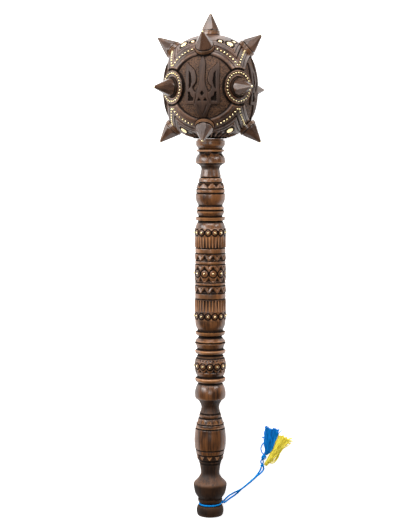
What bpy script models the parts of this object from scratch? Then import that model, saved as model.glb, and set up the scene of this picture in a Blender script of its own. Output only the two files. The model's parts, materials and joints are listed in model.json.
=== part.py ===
"""A carved wooden ceremonial mace, lying at rest on two of its spikes and its pommel.

Lengths are millimetres until a mesh is made. The mace has its own frame: the centre of the head is the
origin, +Y runs along the axis to the crown spike, +Z goes through the front medallion, and a station is a
distance from the head's centre down the shaft. An empty carries that frame and lays it on the ground, z = 0.
"""

import math

import bmesh
import bpy
from mathutils import Matrix, Vector

MM = 0.001
GAP = 0.3  # clearance between pieces that touch

# The head: a turned ball, a little taller than it is wide
HEAD_EQUATOR = 57.2
HEAD_POLE = 62.0
HEAD_POWER = 2.2
HEAD_SEAT = 57.8
NECK_BEVEL = ((52.2, 32.6), (57.2, 24.0))
RECESS_EQUATOR = 53.4
RELIEF = 2.0
SUNK_POLE = 66.0
MEDALLION_RADIUS = 38.5
SIDES = (0, 90, 180, 270)
CORNERS = (45, 135, 225, 315)

# Helper bodies reach in to here and out to there, clear of every surface that they cut
INNER_REACH = 44
OUTER_REACH = 75

# The bosses between the medallions
BOSS_FACE = 54.3
BOSS_RADIUS = 19.2
BOSS_GROOVE_RADIUS = 20.3
WELL_RADIUS = 12.4

# The spikes: a round collar, a groove, then an eight-sided point with a brass nail in its tip
RING_ELEVATION = 46
RING_TIP = 84.9
CROWN_TIP = 86.3
BOSS_TIP = 79.1
COLLAR_RADIUS = 11.1
RING_COLLAR = 4.4
BOSS_COLLAR = 3.9
NECK_GROOVE = 0.9
POINT_RADIUS = 10.0
RING_POINT = 19.4
BOSS_POINT = 21.5
TIP_RADIUS = 0.9
NAIL_RADIUS = 1.05
SPOT_FACE_RADIUS = 11.8

# Drilled by eye, some stand off the true: degrees nearer the crown, degrees leaning to the neck, longer by
OFF_TRUE = {
    "upper_90": (0, 8.5, 1.2),
    "upper_270": (1.5, 6.5, 0.3),
    "lower_90": (0, 0, 1.2),
    "lower_270": (0, 2, 0.8),
}

# The brass discs let into the head
BIG_DISC = {"radius": 4.75, "seat": 5.75, "elevation": 52.3}
SMALL_DISC = {"radius": 2.9, "seat": 4.0, "elevation": 57.0}
SMALL_DISC_TURN = 28
DISC_SUNK = 1.0

# The shaft
BUTT = 506.6
BUTT_RADIUS = 14.4
CORD_GROOVE = 492.9
CORD_GROOVE_RADIUS = 11.2
BULB = 468.8
BULB_RADIUS = 19.8

# The cord and its tassels
CORD_DIAMETER = 2.0
LOOP_RADIUS = CORD_GROOVE_RADIUS + GAP + CORD_DIAMETER / 2
LINK_DIAMETER = 1.6


# ---------------------------------------------------------------- making things

def material(name, colour, roughness, metallic=0.0):
    made = bpy.data.materials.new(name)
    made.use_nodes = True
    shader = made.node_tree.nodes["Principled BSDF"]
    shader.inputs["Base Color"].default_value = (*colour, 1)
    shader.inputs["Roughness"].default_value = roughness
    shader.inputs["Metallic"].default_value = metallic
    return made


def place(name, mesh, looks, parent=None, matrix=None):
    """An object in the scene, which shares its mesh with any other object that is given it."""
    obj = bpy.data.objects.new(name, mesh)
    bpy.context.scene.collection.objects.link(obj)
    if looks and not mesh.materials:
        mesh.materials.append(looks)
    obj.parent = parent
    if matrix:
        obj.matrix_local = matrix
    return obj


def finish_mesh(name, shape, sharp=35):
    """A bmesh in millimetres made into a smooth-shaded mesh in metres."""
    bmesh.ops.scale(shape, vec=(MM, MM, MM), verts=shape.verts)
    bmesh.ops.recalc_face_normals(shape, faces=shape.faces)
    mesh = bpy.data.meshes.new(name)
    shape.to_mesh(mesh)
    shape.free()
    mesh.shade_smooth()
    mesh.set_sharp_from_angle(angle=math.radians(sharp))
    return mesh


def skin(shape, rings):
    """Joins each ring of points to the next with quads and closes both ends."""
    loops = [[shape.verts.new(point) for point in ring] for ring in rings]
    for lower, upper in zip(loops, loops[1:]):
        count = len(lower)
        for i in range(count):
            j = (i + 1) % count
            shape.faces.new((lower[i], lower[j], upper[j], upper[i]))
    shape.faces.new(loops[0][::-1])
    shape.faces.new(loops[-1])


def turned(shape, profile, segments):
    """A body turned about Y from (y, radius) pairs, with a flat and not an edge at each of its four sides."""
    angles = [2 * math.pi * (i + 0.5) / segments for i in range(segments)]
    skin(shape, [[(r * math.sin(a), y, r * math.cos(a)) for a in angles] for y, r in profile])


def round_bar(shape, matrix, radius, low, high, segments=24):
    """A cylinder about the matrix's Z axis, from low to high."""
    angles = [2 * math.pi * (i + 0.5) / segments for i in range(segments)]
    skin(
        shape,
        [
            [matrix @ Vector((radius * math.cos(a), radius * math.sin(a), z)) for a in angles]
            for z in (low, high)
        ],
    )


def cutter(name, shape, parent):
    """A helper body, left out of the finished part."""
    obj = place(name, finish_mesh(name, shape), None, parent)
    obj.hide_render = True
    obj.display_type = "WIRE"
    return obj


def boolean(obj, other, operation):
    step = obj.modifiers.new(f"{operation.lower()} {other.name}", "BOOLEAN")
    step.operation = operation
    step.object = other
    step.solver = "EXACT"


# ---------------------------------------------------------------- places on the head

def on_head(azimuth, elevation):
    """A frame whose Z points out of the head there, and whose Y points along the meridian to the crown."""
    a, e = math.radians(azimuth), math.radians(elevation)
    out = Vector((-math.sin(a) * math.cos(e), math.sin(e), math.cos(a) * math.cos(e)))
    up = Vector((math.sin(a) * math.sin(e), math.cos(e), -math.cos(a) * math.sin(e)))
    return Matrix((up.cross(out), up, out)).transposed().to_4x4()


def bulge(y, equator, pole):
    """The radius of a head-shaped body at a height y."""
    return equator * (1 - (abs(y) / pole) ** HEAD_POWER) ** (1 / HEAD_POWER)


def head_surface(elevation):
    """The distance of the ball's surface from its centre, and the elevation of its normal."""
    e = math.radians(abs(elevation))
    across = (math.cos(e) / HEAD_EQUATOR) ** HEAD_POWER
    along = (math.sin(e) / HEAD_POLE) ** HEAD_POWER
    normal = math.atan2(along / math.sin(e), across / math.cos(e))
    return (across + along) ** (-1 / HEAD_POWER), math.copysign(math.degrees(normal), elevation)


def head_body(top, bottom, equator, pole, rings):
    """(y, radius) pairs of a head-shaped body, closer together towards the ends."""
    span = [math.radians(90 * (2 * i / (rings - 1) - 1)) for i in range(rings)]
    middle, half = (top + bottom) / 2, (top - bottom) / 2
    heights = [middle + half * math.sin(t) for t in span]
    return [(y, bulge(y, equator, pole)) for y in heights]


# ---------------------------------------------------------------- the rest pose

def resting_frame():
    """The mace frame's rotation when two nails and the pommel bulb touch the ground."""
    rear_nail = on_head(180, -RING_ELEVATION) @ Vector((0, 0, RING_TIP - NAIL_RADIUS))
    side_nail = on_head(135, 0) @ Vector((0, 0, BOSS_TIP - NAIL_RADIUS))
    up = Vector((0, 0, 1))
    for _ in range(30):
        across = Vector((up.x, 0, up.z)).normalized()
        bulb = Vector((0, -BULB, 0)) - BULB_RADIUS * across
        nails = [tip - NAIL_RADIUS * up for tip in (rear_nail, side_nail)]
        up = (nails[0] - bulb).cross(nails[1] - bulb).normalized()
        if up.z < 0:
            up.negate()
    along = (Vector((0, 1, 0)) - up.y * up).normalized()
    return Matrix((along.cross(up), along, up)).to_4x4(), -up.dot(bulb)


# ---------------------------------------------------------------- the head

def trident_outline():
    """The right half of the trident's outer edge, from its top point down to its foot."""
    prong = [(0, 34.8), (2.1, 28.9), (2.6, 24.0), (2.0, 12.0), (3.2, 3.0), (7.7, -6.9)]
    inner_wing = [(11.6, -1.9), (11.5, 0), (7.3, 5.9), (7.0, 9.1), (9.3, 18.4), (15.6, 24.5), (19.0, 28.3)]
    outer_wing = [(20.0, 23.3), (19.9, -3.5), (20.4, -14.0), (19.4, -19.8)]
    foot = [(10.5, -19.8), (7.0, -26.5), (4.5, -32.3), (0, -36.3)]
    return prong + inner_wing + outer_wing + foot


def trident_holes():
    """The openings in the right half of the trident, with the one on its middle line first."""
    diamond = [(0, -4.6), (2.35, -7.6), (0, -10.6), (-2.35, -7.6)]
    slot = [(15.9, 17.9), (12.6, 9.2), (12.4, 5.9), (15.9, -2.6)]
    corner = [(16.8, -5.8), (14.7, -5.8), (10.4, -12.4), (10.7, -16.1), (16.7, -16.1)]
    triangle = [(3.65, -12.3), (1.3, -15.9), (5.8, -15.9)]
    return diamond, (slot, corner, triangle)


def trident_block(parent, azimuth):
    """The trident cut out of a thick plate that faces out of the head."""
    half = trident_outline()
    middle, sides = trident_holes()
    loops = [half + [(-x, y) for x, y in half[-2:0:-1]], middle]
    for hole in sides:
        loops += [hole, [(-x, y) for x, y in hole]]
    shape = bmesh.new()
    turn = on_head(azimuth, 0)
    for loop in loops:
        corners = [shape.verts.new(turn @ Vector((x, y, INNER_REACH))) for x, y in loop]
        for i, corner in enumerate(corners):
            shape.edges.new((corners[i - 1], corner))
    bmesh.ops.triangle_fill(shape, edges=shape.edges, use_beauty=True, use_dissolve=False)
    made = bmesh.ops.extrude_face_region(shape, geom=shape.faces[:])
    raised = [item for item in made["geom"] if isinstance(item, bmesh.types.BMVert)]
    bmesh.ops.translate(shape, verts=raised, vec=turn @ Vector((0, 0, 20)))
    return cutter(f"trident block {azimuth}", shape, parent)


def disc_places():
    """(name, frame, surface, sizes) of every brass disc."""
    found = []
    for level, sign in (("upper", 1), ("lower", -1)):
        for azimuth in CORNERS:
            surface, normal = head_surface(sign * BIG_DISC["elevation"])
            found.append((f"big_disc_{level}_{azimuth}", azimuth, sign, surface, normal, BIG_DISC))
    for azimuth in SIDES:
        for turn in (-SMALL_DISC_TURN, SMALL_DISC_TURN):
            surface, normal = head_surface(SMALL_DISC["elevation"])
            place_name = f"small_disc_{(azimuth + turn) % 360}"
            found.append((place_name, azimuth + turn, 1, surface, normal, SMALL_DISC))
    places = []
    for name, azimuth, sign, surface, normal, sizes in found:
        centre = on_head(azimuth, sign * sizes["elevation"]) @ Vector((0, 0, surface))
        places.append((name, Matrix.Translation(centre) @ on_head(azimuth, normal), sizes))
    return places


def spike_places():
    """(name, frame with the collar's underside at its origin, collar height, point length) of every spike."""
    crown_seat = CROWN_TIP - RING_POINT - NECK_GROOVE - RING_COLLAR
    ring_seat = RING_TIP - RING_POINT - NECK_GROOVE - RING_COLLAR
    boss_seat = BOSS_TIP - BOSS_POINT - NECK_GROOVE - BOSS_COLLAR
    places = [("crown", on_head(0, 90) @ Matrix.Translation((0, 0, crown_seat)), RING_COLLAR, RING_POINT)]
    for level, elevation in (("upper", RING_ELEVATION), ("lower", -RING_ELEVATION)):
        for azimuth in SIDES:
            name = f"{level}_{azimuth}"
            raised, leaning, longer = OFF_TRUE.get(name, (0, 0, 0))
            seat = on_head(azimuth, elevation + raised) @ Matrix.Translation((0, 0, ring_seat))
            seat = seat @ Matrix.Rotation(math.radians(leaning), 4, "X")
            places.append((name, seat, RING_COLLAR, RING_POINT + longer))
    for azimuth in CORNERS:
        seat = on_head(azimuth, 0) @ Matrix.Translation((0, 0, boss_seat))
        places.append((f"boss_{azimuth}", seat, BOSS_COLLAR, BOSS_POINT))
    return places


def in_metres(frame):
    """A frame on the head with its origin turned from millimetres to metres."""
    return Matrix.Translation(frame.translation * MM) @ frame.to_3x3().to_4x4()


def make_head(wood, parent):
    shape = bmesh.new()
    (bevel_top, _), (bevel_end, bevel_radius) = NECK_BEVEL
    upper = head_body(HEAD_POLE - 0.05, -bevel_top, HEAD_EQUATOR, HEAD_POLE, 10)
    turned(shape, [(-HEAD_SEAT, bevel_radius - 1.5), (-bevel_end, bevel_radius), *upper], 28)
    head = place("head_ball", finish_mesh("head_ball", shape), wood, parent)

    # Four medallions are sunk to a ground of their own shape
    for azimuth in SIDES:
        shape = bmesh.new()
        round_bar(shape, on_head(azimuth, 0), MEDALLION_RADIUS, 25, OUTER_REACH, 24)
        boolean(head, cutter(f"medallion cut {azimuth}", shape, parent), "DIFFERENCE")
    shape = bmesh.new()
    turned(shape, head_body(INNER_REACH, -INNER_REACH, RECESS_EQUATOR, SUNK_POLE, 6), 24)
    boolean(head, cutter("medallion ground", shape, parent), "UNION")

    # A trident stands up from each ground
    shape = bmesh.new()
    turned(shape, head_body(INNER_REACH, -INNER_REACH, RECESS_EQUATOR + RELIEF, SUNK_POLE, 6), 24)
    relief = cutter("relief surface", shape, parent)
    for azimuth in SIDES:
        block = trident_block(parent, azimuth)
        boolean(block, relief, "INTERSECT")
        boolean(head, block, "UNION")

    # The bosses: a groove round each, a flat face, and a well for the spike's collar
    floor = BOSS_TIP - BOSS_POINT - NECK_GROOVE - BOSS_COLLAR - GAP
    grooves, bosses, wells = bmesh.new(), bmesh.new(), bmesh.new()
    for azimuth in CORNERS:
        round_bar(grooves, on_head(azimuth, 0), BOSS_GROOVE_RADIUS, BOSS_FACE - 1.5, OUTER_REACH, 16)
        round_bar(bosses, on_head(azimuth, 0), BOSS_RADIUS, 38, BOSS_FACE, 16)
        round_bar(wells, on_head(azimuth, 0), WELL_RADIUS, floor, OUTER_REACH, 12)
    boolean(head, cutter("boss grooves", grooves, parent), "DIFFERENCE")
    boolean(head, cutter("bosses", bosses, parent), "UNION")
    boolean(head, cutter("boss wells", wells, parent), "DIFFERENCE")

    # Seats for the other spikes and for the discs
    seats = bmesh.new()
    for name, frame, collar, length in spike_places():
        if not name.startswith("boss"):
            round_bar(seats, frame, SPOT_FACE_RADIUS, -GAP, collar + length, 12)
    for name, frame, sizes in disc_places():
        round_bar(seats, frame, sizes["seat"], -DISC_SUNK, 5, 8)
    boolean(head, cutter("seats", seats, parent), "DIFFERENCE")
    return head


def spike_mesh(name, collar, length):
    """A spike about Z with its collar's underside at z = 0."""
    groove = collar + NECK_GROOVE
    end = groove + length - 1.25 * NAIL_RADIUS

    def ring(radius, z, sided):
        flat = math.cos(math.radians(22.5))
        points = []
        for i in range(16):
            a = math.radians(22.5 * i)
            reach = radius * flat if sided and i % 2 == 0 else radius
            points.append((reach * math.cos(a), reach * math.sin(a), z))
        return points

    shape = bmesh.new()
    skin(
        shape,
        [
            ring(COLLAR_RADIUS, 0, False),
            ring(COLLAR_RADIUS, collar, False),
            ring(POINT_RADIUS - 1.0, collar + NECK_GROOVE / 2, False),
            ring(POINT_RADIUS, groove, True),
            ring(TIP_RADIUS, end, True),
        ],
    )
    bmesh.ops.dissolve_limit(shape, angle_limit=math.radians(1), verts=shape.verts, edges=shape.edges)
    return finish_mesh(name, shape, sharp=25)


def nail_mesh():
    """A domed nail head about Z, with the top of its dome at z = 0."""
    shape = bmesh.new()
    rings = []
    for step in range(3):
        lift = math.radians(30 * step)
        radius, z = NAIL_RADIUS * math.cos(lift), NAIL_RADIUS * (math.sin(lift) - 1)
        rings.append([(radius * math.cos(math.radians(60 * i)), radius * math.sin(math.radians(60 * i)), z)
                      for i in range(6)])
    skin(shape, rings)
    return finish_mesh("nail", shape, sharp=60)


def make_spikes(wood, brass, parent):
    meshes = {}
    nail = nail_mesh()
    for name, frame, collar, length in spike_places():
        if (collar, length) not in meshes:
            meshes[collar, length] = spike_mesh(f"spike {collar} {length}", collar, length)
        place(f"spike_{name}", meshes[collar, length], wood, parent, in_metres(frame))
        tip = frame @ Matrix.Translation((0, 0, collar + NECK_GROOVE + length))
        place(f"nail_{name}", nail, brass, parent, in_metres(tip))


def make_discs(brass, parent):
    meshes = {}
    for name, frame, sizes in disc_places():
        if sizes["radius"] not in meshes:
            shape = bmesh.new()
            round_bar(shape, Matrix(), sizes["radius"], GAP - DISC_SUNK, 0, 10)
            meshes[sizes["radius"]] = finish_mesh(name, shape)
        place(name, meshes[sizes["radius"]], brass, parent, in_metres(frame))


# ---------------------------------------------------------------- the shaft

def shaft_profile():
    """(station, radius) pairs of the turned shaft, from the seat under the head to the butt."""
    neck = [(HEAD_SEAT + GAP, 16.8), (65.5, 16.8), (70.8, 13.6), (71.0, 16.1), (72.8, 16.1), (73.4, 13.5),
            (75.4, 13.3), (78.6, 16.0), (82.0, 17.1), (85.9, 17.3)]
    upper_cove = [(88.1, 13.6), (90.0, 11.6), (92.7, 10.6), (103.4, 12.4), (109.2, 14.0)]
    zigzag = [(109.8, 15.0), (115.6, 16.7), (128.0, 17.1)]
    swell = [(131.3, 16.3), (135.4, 14.1), (137.0, 14.4), (138.2, 16.0), (142.0, 16.6), (149.2, 13.8)]
    grip_ring = [(149.7, 17.4), (153.0, 17.0), (153.6, 14.3), (158.4, 16.6), (163.9, 18.0)]
    grip = [(270.2, 18.5), (277.0, 17.4), (281.8, 15.1), (284.6, 15.0)]
    middle = [(285.0, 17.8), (288.2, 17.0), (289.6, 14.2), (291.2, 13.6), (295.6, 17.7), (298.6, 18.0),
              (305.6, 15.1), (306.6, 17.6), (310.5, 17.4), (311.3, 15.0), (314.8, 15.4)]
    barrel = [(316.1, 17.3), (319.8, 18.0), (326.0, 18.45), (331.6, 17.9), (338.4, 15.4), (339.6, 17.6),
              (341.4, 18.2), (344.2, 17.4), (346.3, 14.1)]
    lower_cove = [(350.0, 16.3), (354.6, 17.8), (358.2, 18.3), (363.4, 18.0), (366.6, 14.4), (370.4, 12.0),
                  (375.4, 10.5), (388.8, 13.2)]
    swelling = [(389.6, 14.0), (396.2, 15.6), (396.8, 16.6), (401.0, 16.6), (403.2, 17.7), (410.0, 18.4),
                (418.5, 18.85), (424.0, 18.5), (434.8, 16.6), (435.4, 15.9)]
    last_cove = [(440.2, 15.3), (443.0, 13.4), (450.0, 11.8), (455.2, 11.1), (459.0, 12.5), (462.6, 15.0),
                 (465.2, 17.8)]
    pommel = [(BULB, BULB_RADIUS), (473.6, 19.2), (480.4, 17.4), (485.9, 13.6), (486.6, 14.5),
              (489.0, 14.3), (490.9, 13.2), (491.7, CORD_GROOVE_RADIUS), (494.1, CORD_GROOVE_RADIUS),
              (494.4, 14.3), (496.9, 15.6), (500.8, 16.1), (BUTT - 0.8, 15.1), (BUTT, BUTT_RADIUS)]
    return (neck + upper_cove + zigzag + swell + grip_ring + grip + middle + barrel + lower_cove + swelling
            + last_cove + pommel)


def make_shaft(wood, parent):
    shape = bmesh.new()
    turned(shape, [(-station, radius) for station, radius in reversed(shaft_profile())], 16)
    place("shaft", finish_mesh("shaft", shape), wood, parent)


# ---------------------------------------------------------------- the cord and its tassels

def smooth_route(points, spacing):
    """Points at an even spacing along a smooth curve through the route's own points."""
    route = [Vector(point) for point in points]
    ends = [2 * route[0] - route[1], *route, 2 * route[-1] - route[-2]]
    fine = []
    for a, b, c, d in zip(ends, ends[1:], ends[2:], ends[3:]):
        for step in range(12):
            t = step / 12
            fine.append(((2 * b) + (c - a) * t + (2 * a - 5 * b + 4 * c - d) * t**2
                         + (3 * b - a - 3 * c + d) * t**3) / 2)
    fine.append(route[-1])
    lengths = [0.0]
    for one, two in zip(fine, fine[1:]):
        lengths.append(lengths[-1] + (two - one).length)
    count = max(2, round(lengths[-1] / spacing) + 1)
    even, at = [], 0
    for i in range(count):
        wanted = lengths[-1] * i / (count - 1)
        while at < len(fine) - 2 and lengths[at + 1] < wanted:
            at += 1
        share = (wanted - lengths[at]) / max(1e-9, lengths[at + 1] - lengths[at])
        even.append(fine[at].lerp(fine[at + 1], min(1.0, share)))
    return even


def tube(name, points, diameter, looks, parent=None, closed=False):
    """A round cord through the points."""
    curve = bpy.data.curves.new(name, "CURVE")
    curve.dimensions = "3D"
    curve.bevel_depth = diameter / 2 * MM
    curve.bevel_resolution = 2
    curve.use_fill_caps = not closed
    spline = curve.splines.new("POLY")
    spline.points.add(len(points) - 1)
    for spot, point in zip(spline.points, points):
        spot.co = (*(Vector(point) * MM), 1)
    spline.use_cyclic_u = closed
    curve.materials.append(looks)
    obj = bpy.data.objects.new(name, curve)
    bpy.context.scene.collection.objects.link(obj)
    obj.parent = parent
    return obj


def knot(name, centre, radii, looks):
    shape = bmesh.new()
    bmesh.ops.create_uvsphere(shape, u_segments=8, v_segments=6, radius=1)
    bmesh.ops.scale(shape, vec=radii, verts=shape.verts)
    bmesh.ops.translate(shape, vec=centre, verts=shape.verts)
    place(name, finish_mesh(name, shape, sharp=80), looks)


def lying_bundle(name, stations, looks):
    """A flattened bundle of threads that lies on the ground: each station is (x, y, half width, half height),
    and the last one is its cut end."""
    shape = bmesh.new()
    rings = []
    for i, (x, y, half_width, half_height) in enumerate(stations):
        before, after = stations[max(0, i - 1)], stations[min(len(stations) - 1, i + 1)]
        along = Vector((after[0] - before[0], after[1] - before[1], 0)).normalized()
        across = Vector((along.y, -along.x, 0))
        ring = []
        for step in range(12):
            a = 2 * math.pi * step / 12
            ring.append(Vector((x, y, half_height)) + across * half_width * math.cos(a)
                        + Vector((0, 0, half_height * math.sin(a))))
        rings.append(ring)
    skin(shape, rings)
    place(name, finish_mesh(name, shape, sharp=60), looks)


HITCH = (14.9, -279.7, 12.4)
JOIN = (63.2, -237.9, 1.9)
UPPER_STRAND = [(16.9, -278.6, 11.3), (19.4, -276.4, 7.6), (23.4, -273.6, 3.8), (28.4, -271.0, 2.3),
                (32.2, -269.0, 2.7), (35.6, -267.3, 3.4), (40.2, -264.2, 3.6), (44.6, -260.8, 3.6),
                (48.6, -257.6, 3.5), (52.8, -254.0, 3.5), (56.8, -250.2, 3.5), (60.8, -247.3, 2.5),
                (63.8, -244.3, 1.3), (64.9, -241.9, 1.3), (64.4, -240.2, 1.5)]
LOWER_STRAND = [(16.8, -281.2, 10.9), (19.5, -280.1, 7.2), (23.0, -278.0, 3.4), (27.4, -275.5, 1.4),
                (31.2, -272.8, 1.05), (34.2, -270.2, 1.05), (37.6, -266.8, 1.05), (42.2, -262.9, 1.05),
                (46.6, -259.2, 1.05), (50.6, -255.8, 1.05), (54.6, -252.0, 1.05), (58.0, -247.7, 1.05),
                (60.6, -243.5, 1.05), (61.8, -240.2, 1.4)]


def make_cord(blue, yellow, parent):
    around = [(LOOP_RADIUS * math.sin(a), -CORD_GROOVE, LOOP_RADIUS * math.cos(a))
              for a in (2 * math.pi * i / 18 for i in range(18))]
    tube("cord_loop", around, CORD_DIAMETER, blue, parent, closed=True)
    knot("cord_hitch", HITCH, (1.7, 1.9, 1.9), blue)
    tube("cord_strand_upper", smooth_route(UPPER_STRAND, 4.0), CORD_DIAMETER, blue)
    tube("cord_strand_lower", smooth_route(LOWER_STRAND, 4.0), CORD_DIAMETER, blue)
    knot("tassel_knot", JOIN, (1.8, 1.7, 1.8), blue)
    link = [(62.4 + 1.7 * math.cos(a), -232.9 + 2.7 * math.sin(a), 0.85)
            for a in (2 * math.pi * i / 10 for i in range(10))]
    tube("tassel_link", link, LINK_DIAMETER, blue, closed=True)
    knot("blue_tassel_knot", (64.7, -226.8, 2.5), (2.7, 2.5, 2.45), blue)
    lying_bundle(
        "blue_tassel",
        [(67.4, -223.9, 1.4, 1.6), (70.4, -220.1, 3.6, 3.0), (71.0, -214.1, 5.6, 3.4),
         (71.4, -208.1, 6.8, 3.4), (72.9, -201.1, 7.4, 3.1), (74.6, -193.1, 7.6, 2.7)],
        blue,
    )
    lying_bundle(
        "yellow_tassel",
        [(66.9, -237.5, 1.3, 1.5), (68.6, -234.7, 2.0, 1.9), (74.2, -227.7, 3.8, 3.0),
         (80.4, -219.7, 4.4, 3.3), (85.2, -212.1, 5.6, 3.2), (91.0, -203.7, 7.4, 2.7)],
        yellow,
    )


# ---------------------------------------------------------------- the whole mace

def lay_down(empty):
    """Turns the mace to its rest pose, with the middle of its footprint over the origin."""
    turn, height = resting_frame()
    tips = [
        turn @ frame @ Vector((0, 0, collar + NECK_GROOVE + length))
        for _, frame, collar, length in spike_places()
    ]
    crown = max(tip.y for tip in tips)
    butt = (turn @ Vector((0, -BUTT, 0))).y - BUTT_RADIUS * abs(turn[2][1])
    side = (max(tip.x for tip in tips) + min(tip.x for tip in tips)) / 2
    empty.matrix_world = Matrix.Translation(Vector((-side, -(crown + butt) / 2, height)) * MM) @ turn


for old in list(bpy.data.objects):
    bpy.data.objects.remove(old, do_unlink=True)

walnut = material("walnut", (0.115, 0.048, 0.022), 0.38)
gold_brass = material("brass", (0.75, 0.55, 0.24), 0.32, 1.0)
blue_cord = material("blue_cord", (0.01, 0.17, 0.62), 0.8)
yellow_thread = material("yellow_thread", (0.75, 0.62, 0.06), 0.8)

mace = bpy.data.objects.new("mace", None)
bpy.context.scene.collection.objects.link(mace)
lay_down(mace)
make_head(walnut, mace)
make_spikes(walnut, gold_brass, mace)
make_discs(gold_brass, mace)
make_shaft(walnut, mace)
make_cord(blue_cord, yellow_thread, mace)
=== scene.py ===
"""A carved wooden ceremonial mace with a spiked head, brass inlay and a tasselled cord, on a pale table."""

import json
import math

import bmesh
import bpy
import numpy as np
from mathutils import Matrix, Vector, geometry, kdtree


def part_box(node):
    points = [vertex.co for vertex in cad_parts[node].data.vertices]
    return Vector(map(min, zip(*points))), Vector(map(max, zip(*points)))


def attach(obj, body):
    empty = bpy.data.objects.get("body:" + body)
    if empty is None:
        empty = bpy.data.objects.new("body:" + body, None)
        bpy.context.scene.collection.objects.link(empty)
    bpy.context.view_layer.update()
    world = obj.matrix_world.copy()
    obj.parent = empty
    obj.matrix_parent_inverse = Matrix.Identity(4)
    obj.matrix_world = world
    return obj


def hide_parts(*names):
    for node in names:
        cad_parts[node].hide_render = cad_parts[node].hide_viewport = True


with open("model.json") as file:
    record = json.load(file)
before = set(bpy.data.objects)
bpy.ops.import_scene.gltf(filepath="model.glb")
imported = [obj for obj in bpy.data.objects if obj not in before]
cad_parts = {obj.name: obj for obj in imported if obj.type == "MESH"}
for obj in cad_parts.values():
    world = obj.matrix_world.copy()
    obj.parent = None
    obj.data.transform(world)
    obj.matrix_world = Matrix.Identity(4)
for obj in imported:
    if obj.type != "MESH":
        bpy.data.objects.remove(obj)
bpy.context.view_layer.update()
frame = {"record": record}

# ================================================================ where the mace lies
# Wood and brass are laid out in millimetres about the middle of the head: x to the right, y along the shaft
# to the crown, z out of the front medallion. The flat butt and one spike's nail say how that frame lies.

SHAFT_END = 506.6
butt = next(mount for mount in frame["record"]["mounts"] if mount["name"] == "butt")
along = -Vector(butt["axis"]).normalized()
head_centre = Vector(butt["pos_m"]) + along * SHAFT_END / 1000
nail_low, nail_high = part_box("nail_upper_0")
front = (nail_low + nail_high) / 2 - head_centre
front = (front - along * front.dot(along)).normalized()
mace_frame = Matrix((along.cross(front), along, front)).transposed().to_4x4()
mace_frame.translation = head_centre
mace_frame = mace_frame @ Matrix.Scale(0.001, 4)

# ================================================================ the head
# A ball turned from one block of walnut, taller than it is wide, then carved: four round medallions are sunk
# in it, each with a raised trident on a punched ground, and four flat bosses stand between them. Grooves,
# seats for the spikes and discs, and drilled beds for the brass beads are cut last.

# The ball's radii, and how full it is between them: 2 would be an ellipsoid
EQUATOR, POLE, FULLNESS, MEAN_RADIUS = 57.2, 62.0, 2.2, 57.0
GROUND_EQUATOR, GROUND_POLE, TRIDENT_RISE = 53.4, 66.0, 2.0
TRIDENT_WIDTH, TRIDENT_SHIFT = 0.97, -1.0
LIP, LIP_CHAMFER, LIP_WALL = 38.5, 37.5, 36.9
LIP_CUT = 0.9
TRIDENT_LINE = (1.3, 0.7)  # width and depth of the lines cut in the trident
TRIDENT_EDGE, TRIDENT_EDGE_DROP = 0.45, 0.3

# Grooves round a medallion: (radius, width, depth)
FRAME_GROOVES = ((41.0, 1.0, 0.7), (48.2, 1.7, 1.5), (50.9, 1.0, 0.8), (53.2, 1.0, 0.8))
BEAD_ROW, BEAD_ANGLES = 44.4, (19.0, 24.8, 30.0, 35.0, 40.5, 45.9, 51.4, 56.2)
BEAD_BED, BEAD_BED_DEPTH = 1.45, 0.8
BEAD_BED_FLOOR = BEAD_BED - 0.5

BOSS_FACE, BOSS_EDGE, BOSS_EDGE_DROP = 54.3, 19.2, 0.35
BOSS_SOFT_EDGE = BOSS_EDGE - 0.5
BOSS_GROOVE, BOSS_GROOVE_DEPTH, BOSS_LINE = 20.5, 2.2, (13.9, 0.8, 0.35)
BOSS_GROOVE_FADE = (55.0, 56.0)  # it runs out where the carving is lower than this
BOSS_BEADS, BOSS_BEAD_COUNT, BOSS_BEAD_REACH = 16.0, 28, 56.6
WELL_EDGE, WELL_FLOOR = 12.4, 52.5

SPIKE_RING, SPIKE_GAP, SEAT_EDGE = 46.0, 0.3, 11.6

# Drilled by eye, some spikes are off true: degrees nearer the crown, degrees leaning to the neck, longer by
OFF_TRUE = {("upper", 90): (0, 8.5, 1.2), ("upper", 270): (1.5, 6.5, 0.3), ("lower", 90): (0, 0, 1.2),
            ("lower", 270): (0, 2, 0.8)}
RING_TIP, CROWN_TIP, BOSS_TIP = 84.9, 86.3, 79.1
RING_COLLAR, BOSS_COLLAR, POINT_NECK, RING_POINT, BOSS_POINT = 4.4, 3.9, 0.9, 19.4, 21.5
SIDES, CORNERS = (0, 90, 180, 270), (45, 135, 225, 315)

# Seats of the brass discs: (azimuth, elevation, radius), and drilled dots: (azimuth, elevation)
BIG_DISC, SMALL_DISC = (45.0, 52.3, 5.85), (28.0, 57.0, 4.1)
DISC_SEATS = (BIG_DISC, (BIG_DISC[0], -BIG_DISC[1], BIG_DISC[2]), SMALL_DISC)
DISC_SUNK, DISC_SEAT_WALL = 1.0, 0.3
DRILLED = ((45.0, 43.5), (45.0, -43.5), (29.0, -55.0))
DRILL_EDGE, DRILL_FLOOR, DRILL_DEPTH = 1.15, 0.7, 1.5

# The bevels at the neck: (depth, radius) where each begins and ends
NECK_BEVELS = ((52.2, 32.6), (57.2, 24.0)), ((54.4, 28.8), (57.8, 18.6))
NECK_SEAT, NECK_CORE = 57.8, 12.0
NECK_CHIPS, NECK_CHIP_DEPTH, NECK_CHIP_ENDS, NECK_SHADOW = 32, 3.0, (50.8, 53.8), (56.6, 57.4)

# How much painted shade lies in the chips at the neck, on the medallions' ground and on their tridents
CHIP_SHADE, GROUND_SHADE, TRIDENT_SHADE = 0.62, 0.56, 0.5
WALL = 0.4  # how far the wall of a cut leans
NOWHERE = 1e9  # further than anything


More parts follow.
